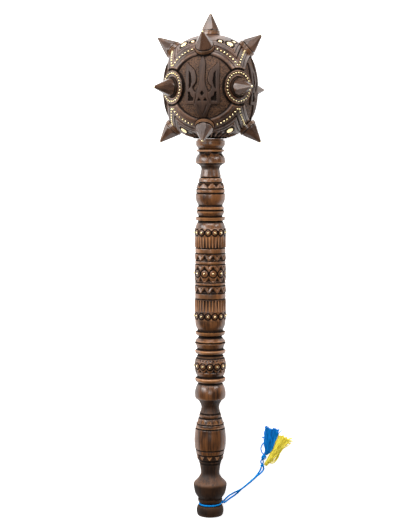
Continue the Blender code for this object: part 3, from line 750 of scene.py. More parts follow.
# Painted shade: darker the more hollow the surface is, and where the mesh marks its cuts
deep = larger(wear, eased(wear, hollow, 0.02, 0.14), eased(wear, hollow_wide, 0.015, 0.09))
deep = larger(wear, deep, eased(wear, known(wear, "painted_shade"), 0.15, 0.85))
shade_part = product(wear, deep, wear_in.outputs["Darkening"])
worn = mixed(wear, rubbed_part, wear_in.outputs["Wood"], wear_in.outputs["Rubbed"])
wear.links.new(mixed(wear, shade_part, worn, wear_in.outputs["Hollow"]), wear_out.inputs["Colour"])
wear.links.new(rubbed_part, wear_out.inputs["Rubbed part"])
wear.links.new(shade_part, wear_out.inputs["Painted shade part"])


# Ground dented all over with a small punch. Its ridges between the pits get a lighter colour, partly worn
# wood and partly a painted highlight
punch, _, punch_out = node_group(
    "punched ground", [], [("Worn and lit ridges", "NodeSocketFloat"), ("Height", "NodeSocketFloat")])
here = add(punch, "ShaderNodeTexCoord").outputs["Object"]
cells = add(punch, "ShaderNodeTexVoronoi", {"Vector": here, "Scale": 560.0}).outputs["Distance"]
only_there = known(punch, "punched")
punch.links.new(product(punch, cells, only_there), punch_out.inputs["Height"])
punch.links.new(product(punch, eased(punch, cells, 0.3, 0.6), only_there), punch_out.inputs["Worn and lit ridges"])


def new_material(name):
    """A material with its node tree and its shader."""
    made = bpy.data.materials.new(name)
    made.use_nodes = True
    return made, made.node_tree, made.node_tree.nodes["Principled BSDF"]


def placed_group(tree, group, **values):
    """A group's node in a material's tree, with its own values for the group's inputs."""
    inputs = {label: (*value, 1) if isinstance(value, tuple) else value for label, value in values.items()}
    return add(tree, "ShaderNodeGroup", inputs, node_tree=group)


def varnished_walnut(name, light, dark, worn_wood, streaks, rub, darkening, gloss):
    """Stained walnut under a satin varnish."""
    made, tree, shader = new_material(name)
    wood = placed_group(tree, grain, Light=light, Dark=dark, Streaks=streaks)
    rubbed = placed_group(tree, wear, Rub=rub, Rubbed=worn_wood, Darkening=darkening)
    tree.links.new(wood.outputs["Colour"], rubbed.inputs["Wood"])
    dull = worked_out(tree, "MULTIPLY_ADD", rubbed.outputs["Painted shade part"], 0.45, gloss)
    tree.links.new(worked_out(tree, "MULTIPLY_ADD", wood.outputs["Pores"], 0.15, dull),
                   shader.inputs["Roughness"])
    slant = add(tree, "ShaderNodeLayerWeight", {"Blend": 0.5}).outputs["Facing"]
    shader.inputs["Specular IOR Level"].default_value = 0.3
    shine = eased(tree, slant, 0.45, 0.95, 0.6, 0.08)
    unpolished = worked_out(tree, "MULTIPLY_ADD", rubbed.outputs["Painted shade part"], -0.85, 1.0)
    tree.links.new(product(tree, shine, unpolished), shader.inputs["Specular IOR Level"])
    dents = add(tree, "ShaderNodeGroup", {}, node_tree=punch)
    out_of_shade = worked_out(tree, "SUBTRACT", 0.8, rubbed.outputs["Painted shade part"])
    # The punched ridges get the worn colour, partly wear and partly a painted highlight, except under painted
    # shade
    worn_and_lit_ridges = product(tree, dents.outputs["Worn and lit ridges"], product(tree, out_of_shade, 0.85))
    tree.links.new(mixed(tree, worn_and_lit_ridges, rubbed.outputs["Colour"], (*worn_wood, 1)),
                   shader.inputs["Base Color"])
    sunk = add(tree, "ShaderNodeBump",
               {"Height": wood.outputs["Pores"], "Strength": 0.12, "Distance": 0.0002}, invert=True)
    dented = add(tree, "ShaderNodeBump", {"Height": dents.outputs["Height"], "Strength": 0.8,
                                          "Distance": 0.0006, "Normal": sunk.outputs["Normal"]})
    tree.links.new(dented.outputs["Normal"], shader.inputs["Normal"])
    return made


head_walnut = varnished_walnut("head_walnut", (0.105, 0.046, 0.023), (0.024, 0.009, 0.004),
                               (0.34, 0.16, 0.07), 0.4, 0.6, 0.97, 0.32)
head_mesh.materials.append(head_walnut)
stand_in("carved_head", head_mesh, "walnut", "head_ball")

# ================================================================ the spikes
# Thirteen walnut spikes: one at the crown, four in a ring above the medallions, four on the bosses and four
# in a ring below. Each is turned with a round collar and a groove, then its point is cut to eight flats,
# which leave scallops round its base, and it is glued in its seat.

POINT_RADIUS, COLLAR_RADIUS, TIP_RADIUS = 10.0, 11.1, 1.3
NECK_RADIUS, COLLAR_LINE, FLATS, SPIKE_SIDES = 9.0, 1.3, 8, 64
SCALLOP_TOP, NAIL_SEAT = 1.8, 0.65


def wall(rows, sides, closed=False):
    """The four-sided faces between rows of points round a shape, as the points' numbers."""
    faces = []
    for row in range(rows if closed else rows - 1):
        for i in range(sides):
            j, onward = (i + 1) % sides, (row + 1) % rows
            faces.append((row * sides + i, row * sides + j, onward * sides + j, onward * sides + i))
    return faces


def spike_mesh(collar, length, collar_wear):
    """A spike about z that stands on z = 0. A collar that isn't worn gets painted shade."""
    base, line = collar + POINT_NECK, collar - COLLAR_LINE
    rounds = [(0, 9.9), (0.3, COLLAR_RADIUS), (line - 0.2, COLLAR_RADIUS), (line, COLLAR_RADIUS - 0.35),
              (line + 0.2, COLLAR_RADIUS), (collar - 0.3, COLLAR_RADIUS - 0.05),
              (collar, COLLAR_RADIUS - 0.4), (collar + 0.1, NECK_RADIUS), (base - 0.15, NECK_RADIUS),
              (base - 0.05, POINT_RADIUS - 0.2)]
    turns = np.arange(SPIKE_SIDES) * 360 / SPIKE_SIDES
    points, painted_shade, worn = [], [], []
    for z, radius in rounds:
        points += [(radius * math.cos(a), radius * math.sin(a), z) for a in np.radians(turns)]
        # Painted shade in the collar's groove and the neck under the collar, and on a collar that isn't worn
        grooved = collar - 0.05 < z < base - 0.1 or abs(z - line) < 0.1
        painted_shade += [1.0 if grooved else 0.6 * (collar_wear == 0)] * SPIKE_SIDES
        worn += [collar_wear * ((collar - 1.0 < z < collar) + 0.4 * (0.2 < z < collar - 1.4))] * SPIKE_SIDES
    seat = length - NAIL_SEAT
    heights = (0, 0.3, 0.55, 0.8, 1.05, 1.3, 1.55, SCALLOP_TOP, 4, 8, 12, 16, seat)
    for height in heights:
        share = (height - SCALLOP_TOP) / (seat - SCALLOP_TOP)
        across_flats = math.cos(math.pi / FLATS) * (POINT_RADIUS + (TIP_RADIUS - POINT_RADIUS) * share)
        for a in turns:
            from_flat = math.radians((a + 180 / FLATS) % (360 / FLATS) - 180 / FLATS)
            radius = min(POINT_RADIUS - 0.06 * height, across_flats / math.cos(from_flat))
            points.append((radius * math.cos(math.radians(a)), radius * math.sin(math.radians(a)),
                           base + height))
    rows = len(rounds) + len(heights)
    bottom, top = len(points), len(points) + 1
    points = np.array([*points, (0, 0, 0), (0, 0, base + seat)])
    painted_shade, worn = [np.r_[values, np.zeros(len(points) - len(values))] for values in (painted_shade, worn)]
    faces = [half for a, b, c, d in wall(rows, SPIKE_SIDES) for half in ((a, b, c), (a, c, d))]
    last = bottom - SPIKE_SIDES
    faces += [((i + 1) % SPIKE_SIDES, i, bottom) for i in range(SPIKE_SIDES)]
    faces += [(last + i, last + (i + 1) % SPIKE_SIDES, top) for i in range(SPIKE_SIDES)]
    return carving("spike", points, np.array(faces), 22, grain=points[:, [0, 2, 1]], painted_shade=painted_shade, worn=worn)


# One tree sets a shape at every point of a mesh: its z along "out", its y along "up", at the scale of "size"
setting, set_in, set_out = node_group(
    "set at every point",
    [("Points", "NodeSocketGeometry"), ("Shape", "NodeSocketObject"), ("Finish", "NodeSocketMaterial")],
    [("Pieces", "NodeSocketGeometry")], "GeometryNodeTree")


def named(tree, label, kind="FLOAT"):
    """A named value, or vector, of the points."""
    return add(tree, "GeometryNodeInputNamedAttribute", {"Name": label}, data_type=kind).outputs["Attribute"]


turn = add(setting, "FunctionNodeAxesToRotation",
           {0: named(setting, "out", "FLOAT_VECTOR"), 1: named(setting, "up", "FLOAT_VECTOR")},
           primary_axis="Z", secondary_axis="Y").outputs[0]
shape = add(setting, "GeometryNodeObjectInfo", {"Object": set_in.outputs["Shape"]})
placed = add(setting, "GeometryNodeInstanceOnPoints",
             {"Points": set_in.outputs["Points"], "Instance": shape.outputs["Geometry"], "Rotation": turn,
              "Scale": named(setting, "size")})
real = add(setting, "GeometryNodeRealizeInstances", {"Geometry": placed.outputs[0]})
finished = add(setting, "GeometryNodeSetMaterial",
               {"Geometry": real.outputs[0], "Material": set_in.outputs["Finish"]})
setting.links.new(finished.outputs[0], set_out.inputs["Pieces"])


def grown_mesh(name, base, group, **inputs):
    """The plain mesh that a Geometry Nodes group makes from a base mesh, with the group's inputs by name."""
    carrier = in_scene(f"{name} carrier", base)
    step = carrier.modifiers.new(group.name, "NODES")
    step.node_group = group
    identifiers = {item.name: item.identifier for item in group.interface.items_tree
                   if item.in_out == "INPUT"}
    for label, value in inputs.items():
        step[identifiers[label]] = value
    bpy.context.view_layer.update()
    mesh = bpy.data.meshes.new_from_object(carrier.evaluated_get(bpy.context.evaluated_depsgraph_get()))
    mesh.name = name
    bpy.data.objects.remove(carrier)
    return mesh


def set_in_places(name, shape_mesh, places, finish):
    """One mesh of the shape set at every place, which is a frame in the mace's millimetres."""
    points = bpy.data.meshes.new(f"{name} places")
    points.from_pydata([mace_frame @ place.translation for place in places], [], [])
    mace_turn = mace_frame.to_3x3().normalized()
    for label, column in (("out", 2), ("up", 1)):
        headings = [mace_turn @ place.to_3x3().normalized().col[column] for place in places]
        mark(points, label, headings, "FLOAT_VECTOR")
    mark(points, "size", np.ones(len(places)))
    mark(points, "number", np.arange(len(places)))
    shape_mesh.transform(Matrix.Scale(0.001, 4))
    pattern = in_scene(f"{name} pattern", shape_mesh)
    mesh = grown_mesh(name, points, setting, Shape=pattern, Finish=finish)
    bpy.data.objects.remove(pattern)
    return mesh


spike_walnut = varnished_walnut("spike_walnut", (0.105, 0.052, 0.030), (0.034, 0.016, 0.010),
                                (0.38, 0.18, 0.075), 0.4, 0.12, 0.97, 0.23)
for name, kind, collar_wear in (("ring_spikes", ("crown", "upper", "lower"), 0.7),
                                ("boss_spikes", ("boss",), 0)):
    chosen = [spike for spike in spikes if spike[0].startswith(kind)]
    joined = bmesh.new()
    for collar, length in sorted({spike[2:] for spike in chosen}):
        stands = [stand for _, stand, *sizes in chosen if sizes == [collar, length]]
        joined.from_mesh(set_in_places(name, spike_mesh(collar, length, collar_wear), stands, spike_walnut))
    mesh = bpy.data.meshes.new(name)
    joined.to_mesh(mesh)
    joined.free()
    mesh.materials.append(spike_walnut)
    stand_in(name, mesh, "walnut", *[f"spike_{spot}" for spot, _, _, _ in chosen])

# ================================================================ the brass of the head
# Round-headed brass nails in the tips of the spikes, small brass beads drilled in beside the medallions and
# round the bosses, and flat brass discs of two sizes pressed into seats cut in the ball.

NAIL_RADIUS, NAIL_RISE, BEAD_RADIUS, BEAD_SUNK = 1.2, 0.65, 1.13, 0.1
DISC_RADIUS = {"big": 3.9, "small": 2.2}

brass_polish, brass_in, brass_out = node_group(
    "dulled brass",
    [("Bright", "NodeSocketColor", (0.9, 0.7, 0.32, 1)), ("Dull", "NodeSocketColor", (0.5, 0.33, 0.12, 1))],
    [("Colour", "NodeSocketColor"), ("Roughness", "NodeSocketFloat")])
dulled = eased(brass_polish, noise(brass_polish, 420.0, 3.0), 0.4, 0.7)
brass_polish.links.new(mixed(brass_polish, dulled, brass_in.outputs["Bright"], brass_in.outputs["Dull"]),
                       brass_out.inputs["Colour"])
brass_polish.links.new(worked_out(brass_polish, "MULTIPLY_ADD", dulled, 0.2, 0.17),
                       brass_out.inputs["Roughness"])


def polished_brass(name, bright, dull):
    """Brass with a little tarnish."""
    made, tree, shader = new_material(name)
    shader.inputs["Metallic"].default_value = 1.0
    polish = placed_group(tree, brass_polish, Bright=bright, Dull=dull)
    tree.links.new(polish.outputs["Colour"], shader.inputs["Base Color"])
    tree.links.new(polish.outputs["Roughness"], shader.inputs["Roughness"])
    return made


def turned_shape(name, outline, sides, sharp=40):
    """A closed shape about z from (radius, z) pairs that start and end on the axis."""
    body = bmesh.new()
    rings = []
    for radius, z in outline[1:-1]:
        rings.append([body.verts.new((radius * math.cos(a), radius * math.sin(a), z))
                      for a in (2 * math.pi * i / sides for i in range(sides))])
    bottom, top = body.verts.new((0, 0, outline[0][1])), body.verts.new((0, 0, outline[-1][1]))
    for i in range(sides):
        j = (i + 1) % sides
        body.faces.new((bottom, rings[0][j], rings[0][i]))
        body.faces.new((top, rings[-1][i], rings[-1][j]))
        for low_ring, high_ring in zip(rings, rings[1:]):
            body.faces.new((low_ring[i], low_ring[j], high_ring[j], high_ring[i]))
    mesh = bpy.data.meshes.new(name)
    body.to_mesh(mesh)
    body.free()
    mesh.shade_smooth()
    mesh.set_sharp_from_angle(angle=math.radians(sharp))
    return mesh


def round_head(name, radius, height, sides, rings, shank):
    """A round-headed brass pin about z, on a short shank."""
    steps = [math.pi / 2 * i / rings for i in range(rings)]
    return turned_shape(name, [(0, -shank), (radius * 0.96, -shank),
                               *[(radius * math.cos(t), height * math.sin(t)) for t in steps], (0, height)],
                        sides)


bead_brass = polished_brass("bead_brass", (1.0, 0.88, 0.52), (0.78, 0.58, 0.26))
disc_brass = polished_brass("disc_brass", (0.93, 0.74, 0.42), (0.62, 0.44, 0.22))

nail_seats = [stand @ Matrix.Translation((0, 0, collar + POINT_NECK + length - NAIL_RISE))
              for _, stand, collar, length in spikes]
nails = set_in_places("tip_nails", round_head("nail", NAIL_RADIUS, NAIL_RISE, 16, 5, 1.4), nail_seats,
                      bead_brass)
stand_in("tip_nails", nails, "brass", *[f"nail_{spot}" for spot, _, _, _ in spikes])


def facing(point, normal):
    """A frame at a point of the head, whose z is the normal there."""
    out = Vector(normal).normalized()
    up = (Vector((0, 1, 0)) - out * out.y).normalized() if abs(out.y) < 0.99 else Vector((0, 0, 1))
    frame_there = Matrix((up.cross(out), up, out)).transposed().to_4x4()
    frame_there.translation = Vector(point)
    return frame_there


bead_seats = []
for azimuth in SIDES:
    for spot in bead_spots():
        out = turned_about(over_medallion([spot], EQUATOR, POLE), azimuth)
        bead_seats.append(facing(out[0] * (reach(out, EQUATOR, POLE)[0] - BEAD_SUNK), out[0]))
for azimuth in CORNERS:
    boss = on_head(azimuth, 0)
    for i in range(BOSS_BEAD_COUNT):
        t = 2 * math.pi * i / BOSS_BEAD_COUNT
        spot = BOSS_BEADS * math.cos(t), BOSS_BEADS * math.sin(t), BOSS_FACE - BEAD_SUNK
        bead_seats.append(boss @ Matrix.Translation(spot))
bead = round_head("bead", BEAD_RADIUS, BEAD_RADIUS * 0.9, 10, 3, 0.5)
stand_in("head_beads", set_in_places("head_beads", bead, bead_seats, bead_brass), "brass")

small_turn = int(SMALL_DISC[0])
for kind, lift, places in (
        ("big", BIG_DISC[1], [(f"upper_{azimuth}", azimuth, 1) for azimuth in CORNERS]
         + [(f"lower_{azimuth}", azimuth, -1) for azimuth in CORNERS]),
        ("small", SMALL_DISC[1], [((azimuth + turn_to) % 360, azimuth + turn_to, 1) for azimuth in SIDES
                                  for turn_to in (-small_turn, small_turn)])):
    radius = DISC_RADIUS[kind]
    disc = turned_shape("disc", [(0, -0.7), (radius, -0.7), (radius, -0.22), (radius - 0.25, 0.0),
                                 (radius * 0.55, 0.1), (0, 0.14)], 32, 30)
    disc_places = [facing(*turned_about(np.array(disc_seat(0, sign * lift)), azimuth))
                   for _, azimuth, sign in places]
    stand_in(f"{kind}_discs", set_in_places(f"{kind}_discs", disc, disc_places, disc_brass), "brass",
             *[f"{kind}_disc_{spot}" for spot, _, _ in places])

# ================================================================ the shaft
# One long piece of walnut turned between centres: collars, coves, rings and swellings, a straight grip, a
# barrel and a pommel. The grip and barrel are then chip-carved with flutes, triangles and ringed studs.

NECK_END = 58.1

# The turned outline from the head to the butt: (station along the shaft, radius), collar by collar
neck = [(NECK_END, 15.4), (60.2, 15.4), (60.7, 16.8), (65.5, 16.8), (68.2, 14.9), (69.6, 14.2), (70.4, 13.4),
        (71.0, 16.1), (72.8, 16.1), (73.4, 13.5), (75.4, 13.3), (78.6, 16.0), (82.0, 17.1), (85.9, 17.3)]
upper_cove = [(87.0, 15.6), (88.1, 13.6), (90.0, 11.6), (92.7, 10.6), (96.5, 11.2), (103.2, 12.5),
              (103.6, 12.0), (104.4, 13.4), (108.6, 14.2), (109.2, 13.7)]
zigzag = [(109.8, 15.0), (115.6, 16.7), (116.2, 16.1), (116.8, 16.8), (121.0, 16.8), (121.5, 16.2),
          (122.1, 17.2), (128.0, 17.1)]
swell = [(131.3, 16.3), (133.7, 15.1), (135.4, 14.1), (137.0, 14.4), (138.2, 16.0), (141.0, 16.0),
         (141.4, 15.4), (142.0, 16.6), (144.6, 16.0), (147.0, 14.6), (149.2, 13.8)]
grip_ring = [(149.7, 17.4), (153.0, 17.0), (153.6, 14.3), (155.4, 14.9), (158.4, 16.6), (163.4, 17.6)]
grip = [(163.9, 18.2), (217.0, 18.35), (270.2, 18.5), (270.6, 17.9), (275.0, 17.7), (278.6, 16.9),
        (280.8, 15.8), (281.8, 15.1), (284.6, 15.0)]
middle_rings = [(285.0, 17.8), (288.2, 17.0), (289.6, 14.2), (291.2, 13.6), (295.6, 17.7), (296.9, 17.7),
                (297.3, 17.0), (297.8, 18.2), (298.8, 18.2), (299.4, 17.2), (302.6, 16.2), (305.6, 15.1),
                (306.6, 17.3), (307.9, 18.3), (310.5, 17.2), (311.3, 15.0), (313.0, 14.8), (314.0, 15.9),
                (315.6, 15.9)]
barrel = [(316.1, 17.3), (319.8, 18.0), (326.0, 18.45), (331.6, 17.9), (335.4, 16.9), (338.0, 15.4),
          (339.4, 15.6), (340.1, 17.6), (341.4, 18.2), (344.2, 17.4), (345.0, 15.8), (346.3, 14.1)]
lower_cove = [(350.0, 16.3), (354.6, 17.8), (358.2, 18.3), (363.4, 18.0), (364.8, 17.2), (366.6, 14.4),
              (369.0, 12.8), (371.8, 11.4), (375.4, 10.5), (379.0, 11.1), (381.4, 11.8), (382.7, 12.7),
              (383.2, 12.2), (384.3, 13.0), (387.7, 13.2)]
swelling = [(388.5, 14.0), (394.3, 15.6), (394.8, 16.8), (395.7, 16.2), (396.3, 16.5), (398.7, 16.6),
            (399.3, 17.3), (400.2, 17.3), (400.8, 17.7), (405.5, 18.1), (410.3, 18.6), (415.7, 18.85),
            (421.0, 18.5), (425.9, 17.9), (426.5, 17.3), (430.2, 16.8), (432.1, 16.6), (432.7, 15.9)]
last_cove = [(437.7, 15.3), (439.8, 13.9), (440.3, 13.2), (442.8, 13.4), (443.4, 12.6), (448.1, 11.8),
             (455.2, 11.1), (459.0, 12.5), (462.6, 15.0), (465.2, 17.8), (467.2, 19.4)]
pommel = [(468.8, 19.8), (473.6, 19.2), (477.3, 18.5), (480.4, 17.4), (483.4, 15.5), (485.9, 13.6),
          (486.6, 14.5), (489.0, 14.3), (490.9, 13.2), (491.7, 11.2), (494.1, 11.2), (494.4, 14.3),
          (496.9, 15.6), (500.8, 16.1), (503.6, 15.8), (505.8, 15.1), (SHAFT_END, 14.4)]
turned_outline = np.array(neck + upper_cove + zigzag + swell + grip_ring + grip + middle_rings + barrel
                          + lower_cove + swelling + last_cove + pommel)

# The carving is laid out on a plan: millimetres round the shaft at one radius, and stations along it
PLAN_RADIUS = 17.8
SEAM = math.pi * PLAN_RADIUS
GRIP_START, GRIP_END = 164.2, 270.0
SCORED_LINES = (102.9, 109.2, 116.2, 121.6, 141.4, 297.4, 316.0, 382.9, 388.1, 395.3, 400.6, 426.2, 432.4,
                439.2, 443.0)
GRIP_GROOVES = (185.5, 191.9, 200.1, 204.6, 225.7, 229.7, 238.5, 245.7)
SUNK_BANDS = tuple(zip(GRIP_GROOVES[::2], GRIP_GROOVES[1::2]))
CUT_LINE = (1.3, 0.9)  # a groove's width and depth
BAND_DEPTH, BAND_WEAR, PROUD_WEAR = 0.4, 0.3, 0.5

# Painted shade lies thicker in the lower cove, in the last band and on the pommel, where less light falls:
# (stations, how much at each)
SHADED_STRETCHES = (((362, 367, 384, 387), (0, 0.55, 0.5, 0)),
                  ((431, 433, 440, 455, 466, 470), (0, 0.75, 0.58, 0.58, 0.45, 0.68)))


def rounded(outline, spacing=1.3, corner=30):
    """The outline with points added on smooth curves between its corners."""
    steps = np.diff(outline, axis=0)
    headings = np.degrees(np.arctan2(steps[:, 1], steps[:, 0]))
    sharp = [True, *(abs(np.diff(headings)) > corner), True]
    found = []
    for i, (a, b) in enumerate(zip(outline, outline[1:])):
        step = b - a
        start = step if sharp[i] else (b - outline[i - 1]) * step[0] / (b[0] - outline[i - 1][0])
        end = step if sharp[i + 1] else (outline[i + 2] - a) * step[0] / (outline[i + 2][0] - a[0])
        count = max(1, round(float(np.hypot(*step)) / spacing))
        for t in np.arange(count) / count:
            found.append((2 * t**3 - 3 * t**2 + 1) * a + (t**3 - 2 * t**2 + t) * start
                         + (3 * t**2 - 2 * t**3) * b + (t**3 - t**2) * end)
    return np.array([*found, outline[-1]])


fine_outline = rounded(turned_outline)


def repeat(azimuth, count, middle):
    """Plan millimetres round the shaft from the nearest of evenly spaced places, one of them at middle."""
    pitch = 360 / count
    return np.radians((azimuth - middle + pitch / 2) % pitch - pitch / 2) * PLAN_RADIUS


# Rows of ringed studs: (station, count, azimuth of one, ring's radius, its height over its width)
STUD_ROWS = ((167.2, 14, -26.1, 4.1, 1.08), (215.0, 11, -19.5, 5.2, 1.0), (265.5, 14, -26.1, 4.0, 1.12),
             (325.0, 13, -7.8, 4.4, 1.0))
RING_WIDTH, RING_DEPTH, STUD_RISE = 1.1, 1.2, 0.45

# Flutes: (pointed end, wide end, count)
FLUTES = ((171.6, 185.0, 30), (260.6, 246.5, 30))
FLUTE_WIDTH, FLUTE_DEPTH, FLUTE_TAPER = 1.72, 1.3, 0.2

# Three-cornered chips: (count, azimuth of one, half the base's width, its station, the point's station,
# slope). The shallow ones wear and get no painted shade, and the steep ones get painted shade
SHALLOW = 0.6
CHIPS = ((5, 3.0, 5.3, 75.0, 80.8, 0.9), (9, 3.7, 6.0, 109.9, 115.6, 0.85),
         (11, -19.5, 4.6, 199.7, 192.9, 0.9), (11, -3.1, 4.7, 192.5, 199.2, 0.55),
         (11, -19.5, 4.4, 211.5, 205.1, 0.9), (11, -3.1, 4.4, 225.2, 218.0, 0.9),
         (11, -3.1, 3.4, 205.1, 211.0, 0.55), (11, -19.5, 3.6, 225.2, 220.4, 0.55),
         (11, -19.5, 4.6, 238.1, 230.8, 0.9), (11, -3.1, 4.7, 230.3, 237.5, 0.55),
         (26, -7.8, 1.9, 317.2, 320.8, 0.8), (13, 6.0, 3.9, 333.2, 327.4, 0.9),
         (12, -6.0, 4.3, 394.7, 388.7, 0.45), (10, -6.0, 4.4, 433.0, 438.2, 0.45))


def chip_depth(u, v, half, base, point, slope):
    """The depth of a three-cornered chip, which is as steep from each of its edges."""
    tall = abs(point - base)
    down = (v - base) * math.copysign(1, point - base)
    lean = math.hypot(half, tall)
    from_side = ((tall - down) * half - abs(u) * tall) / lean
    return slope * np.maximum(0, np.minimum(down, from_side))


def proud_edges():
    """The stations of the turning's proud sharp edges, which wear first."""
    steps = np.diff(turned_outline, axis=0)
    headings = np.degrees(np.arctan2(steps[:, 1], steps[:, 0]))
    return turned_outline[1:-1, 0][np.diff(headings) < -28]


def shaft_carving(azimuth, v):
    """The carved shaft's radius at an azimuth and a station, how much painted shade lies in the cuts and in
    stretches that get less light, and how worn the wood is."""
    radius = np.interp(v, *fine_outline.T)
    painted_shade, worn = np.zeros(len(radius)), np.zeros(len(radius))
    for station in proud_edges():
        worn = np.maximum(worn, PROUD_WEAR * ramp(abs(v - station), 0.8, 0.25))
    for start, end in SUNK_BANDS:
        sunk = ramp(v, start - 0.1, start) * ramp(v, end + 0.1, end)
        radius -= BAND_DEPTH * sunk
        worn = np.maximum(worn, BAND_WEAR * sunk)
    # The grooves and scored lines get painted shade
    for station in GRIP_GROOVES + SCORED_LINES:
        radius -= groove(v - station, *CUT_LINE)
        painted_shade = np.maximum(painted_shade, ramp(abs(v - station), 0.95, 0.45))
    # Painted shade over the stretches that get less light
    for stations, amounts in SHADED_STRETCHES:
        painted_shade = np.maximum(painted_shade, np.interp(v, stations, amounts))

    for count, middle, half, base, point, slope in CHIPS:
        depth = chip_depth(repeat(azimuth, count, middle), v, half, base, point, slope)
        radius -= depth
        # Steep chips get painted shade, and shallow ones lose it and wear
        if slope > SHALLOW:
            painted_shade = np.maximum(painted_shade, 0.7 * ramp(depth, 0.1, 0.9))
        else:
            worn = np.maximum(worn, (0.3 if base < GRIP_END else 0.9) * ramp(depth, 0.05, 0.3))
            painted_shade *= 1 - ramp(depth, 0.05, 0.3)

    # The flutes, cut by eye, are each a little different
    for start, end, count in FLUTES:
        share = ramp(v, start, end)
        which = np.round(azimuth * count / 360) % count
        half = np.maximum(0.05, FLUTE_WIDTH * share**FLUTE_TAPER * (0.92 + 0.14 * np.sin(2.4 * which)))
        bowl = np.maximum(0, 1 - (repeat(azimuth, count, 0) / half) ** 2)
        closing = ramp(abs(v - end), 0, 0.5) * (share < 1)
        depth = FLUTE_DEPTH * share**0.4 * bowl * closing
        radius -= depth
        # Painted shade in the flutes
        painted_shade = np.maximum(painted_shade, (0.5 + 0.25 * np.sin(1.7 * which)) * ramp(depth, 0.3, 0.9))
        ridge = (share > 0.03) * (share < 1) * ramp(depth, 0.5, 0.1)
        worn = np.maximum(worn, (0.65 + 0.35 * np.sin(3.1 * which)) * ridge)

    for station, count, middle, ring, tall in STUD_ROWS:
        q = np.hypot(repeat(azimuth, count, middle), (v - station) / tall)
        uncut = np.interp(station, *fine_outline.T)
        radius += (uncut - radius) * ramp(q, ring + 0.1, ring)
        radius -= groove(q - ring + RING_WIDTH / 2, RING_WIDTH, RING_DEPTH)
        radius += STUD_RISE * np.maximum(0, 1 - (q / (ring - RING_WIDTH)) ** 2)
        # Painted shade in the ring round each stud, none inside it
        edge = ramp(abs(q - ring + RING_WIDTH / 2), 0.85, 0.5)
        painted_shade = np.where(q < ring, edge, np.maximum(painted_shade, edge))
        worn = np.where(q < ring, 0.0, worn)
    return radius, painted_shade, worn * ramp(painted_shade, 0.6, 0.2)


def shaft_lines():
    """Every line of the shaft's carving that the mesh has to follow, as plan points (u, station)."""
    lines = []

    def copies(line, count, middle):
        for i in range(count):
            u = (math.radians(middle) * PLAN_RADIUS + i * 2 * SEAM / count + SEAM) % (2 * SEAM) - SEAM
            for wrap in (-2 * SEAM, 0, 2 * SEAM):
                moved = line + (u + wrap, 0)
                if moved[:, 0].max() > -SEAM and moved[:, 0].min() < SEAM:
                    lines.append(moved)

    for count, middle, half, base, point, _ in CHIPS:
        corners = np.array([(-half, base), (half, base), (0, point), (-half, base)], float)
        inner = half * abs(point - base) / (half + math.hypot(half, point - base))
        heart = np.array([0, base + math.copysign(inner, point - base)])
        copies(divided(corners, 1.0), count, middle)
        for corner in corners[:3]:
            copies(divided(np.array([corner, heart]), 1.0), count, middle)
    for station, count, middle, ring, tall in STUD_ROWS:
        for radius in (ring, ring - RING_WIDTH / 2, ring - RING_WIDTH, (ring - RING_WIDTH) * 0.55):
            copies(circle(radius, 0.8) * (1, tall) + (0, station), count, middle)
    for start, end, count in FLUTES:
        shares = np.array([0.02, 0.1, 0.2, 0.32, 0.45, 0.6, 0.75, 0.88, 1.0])
        stations = start + (end - start) * shares
        for side in (-1, -0.5, 0, 0.5, 1):
            copies(np.stack([side * FLUTE_WIDTH * shares**FLUTE_TAPER, stations], axis=-1), count, 0)
    return lines


def clear_on_plan(points, others, distance):
    """The plan points that are further than a distance from every other plan point."""
    level = [np.c_[spots, np.zeros(len(spots))] for spots in (points, others)]
    return clear_of(*level, distance)[:, :2]


# Rows of points round the shaft at the outline's stations, outside the grip and clear of the scored lines
COLUMNS, GRIP_COLUMNS, GRIP_ROW, SCORE_HALF, SCORE_CLEARANCE = 96, 112, 0.86, 0.55, 0.75
FILL_CLEARANCE, ROW_CLEARANCE = 0.4, 0.22
rows = [v for v in fine_outline[:, 0] if not GRIP_START < v < GRIP_END]
rows = [v for v in rows if min(abs(v - station) for station in SCORED_LINES) > SCORE_CLEARANCE]
for station in GRIP_GROOVES + SCORED_LINES:
    rows += [station - SCORE_HALF, station, station + SCORE_HALF]
for start, end, count in FLUTES:
    rows += [end + math.copysign(0.5, start - end), end]
row_lines = [np.stack([np.linspace(-SEAM, SEAM, COLUMNS + 1), np.full(COLUMNS + 1, v)], axis=-1)
             for v in rows]

# The grip is filled with staggered rows of points instead, and the seam is where the plan's sides meet
fill, steps = [], np.arange(GRIP_START + 0.7, GRIP_END - 0.2, GRIP_ROW)
for i, v in enumerate(steps):
    spots = np.linspace(-SEAM, SEAM, GRIP_COLUMNS + 1)[:-1] + (1 + 2 * (i % 2)) * SEAM / GRIP_COLUMNS / 2
    fill.append(np.stack([spots, np.full(GRIP_COLUMNS, v)], axis=-1))
seam_stations = sorted({round(v, 4) for v in [*rows, *steps]})
seams = [np.array([(u, v) for v in seam_stations]) for u in (-SEAM, SEAM)]
lines = shaft_lines()
carved_points = np.vstack(lines)
fill = clear_on_plan(np.vstack(fill), np.vstack([carved_points, *row_lines, *seams]), FILL_CLEARANCE)
kept_rows = []
for line in row_lines:
    kept = np.unique(np.vstack([clear_on_plan(line, carved_points, ROW_CLEARANCE), line[[0, -1]]]), axis=0)
    kept_rows.append(kept[np.argsort(kept[:, 0])])
corners, triangles = net(fill, [*lines, *kept_rows, *seams])

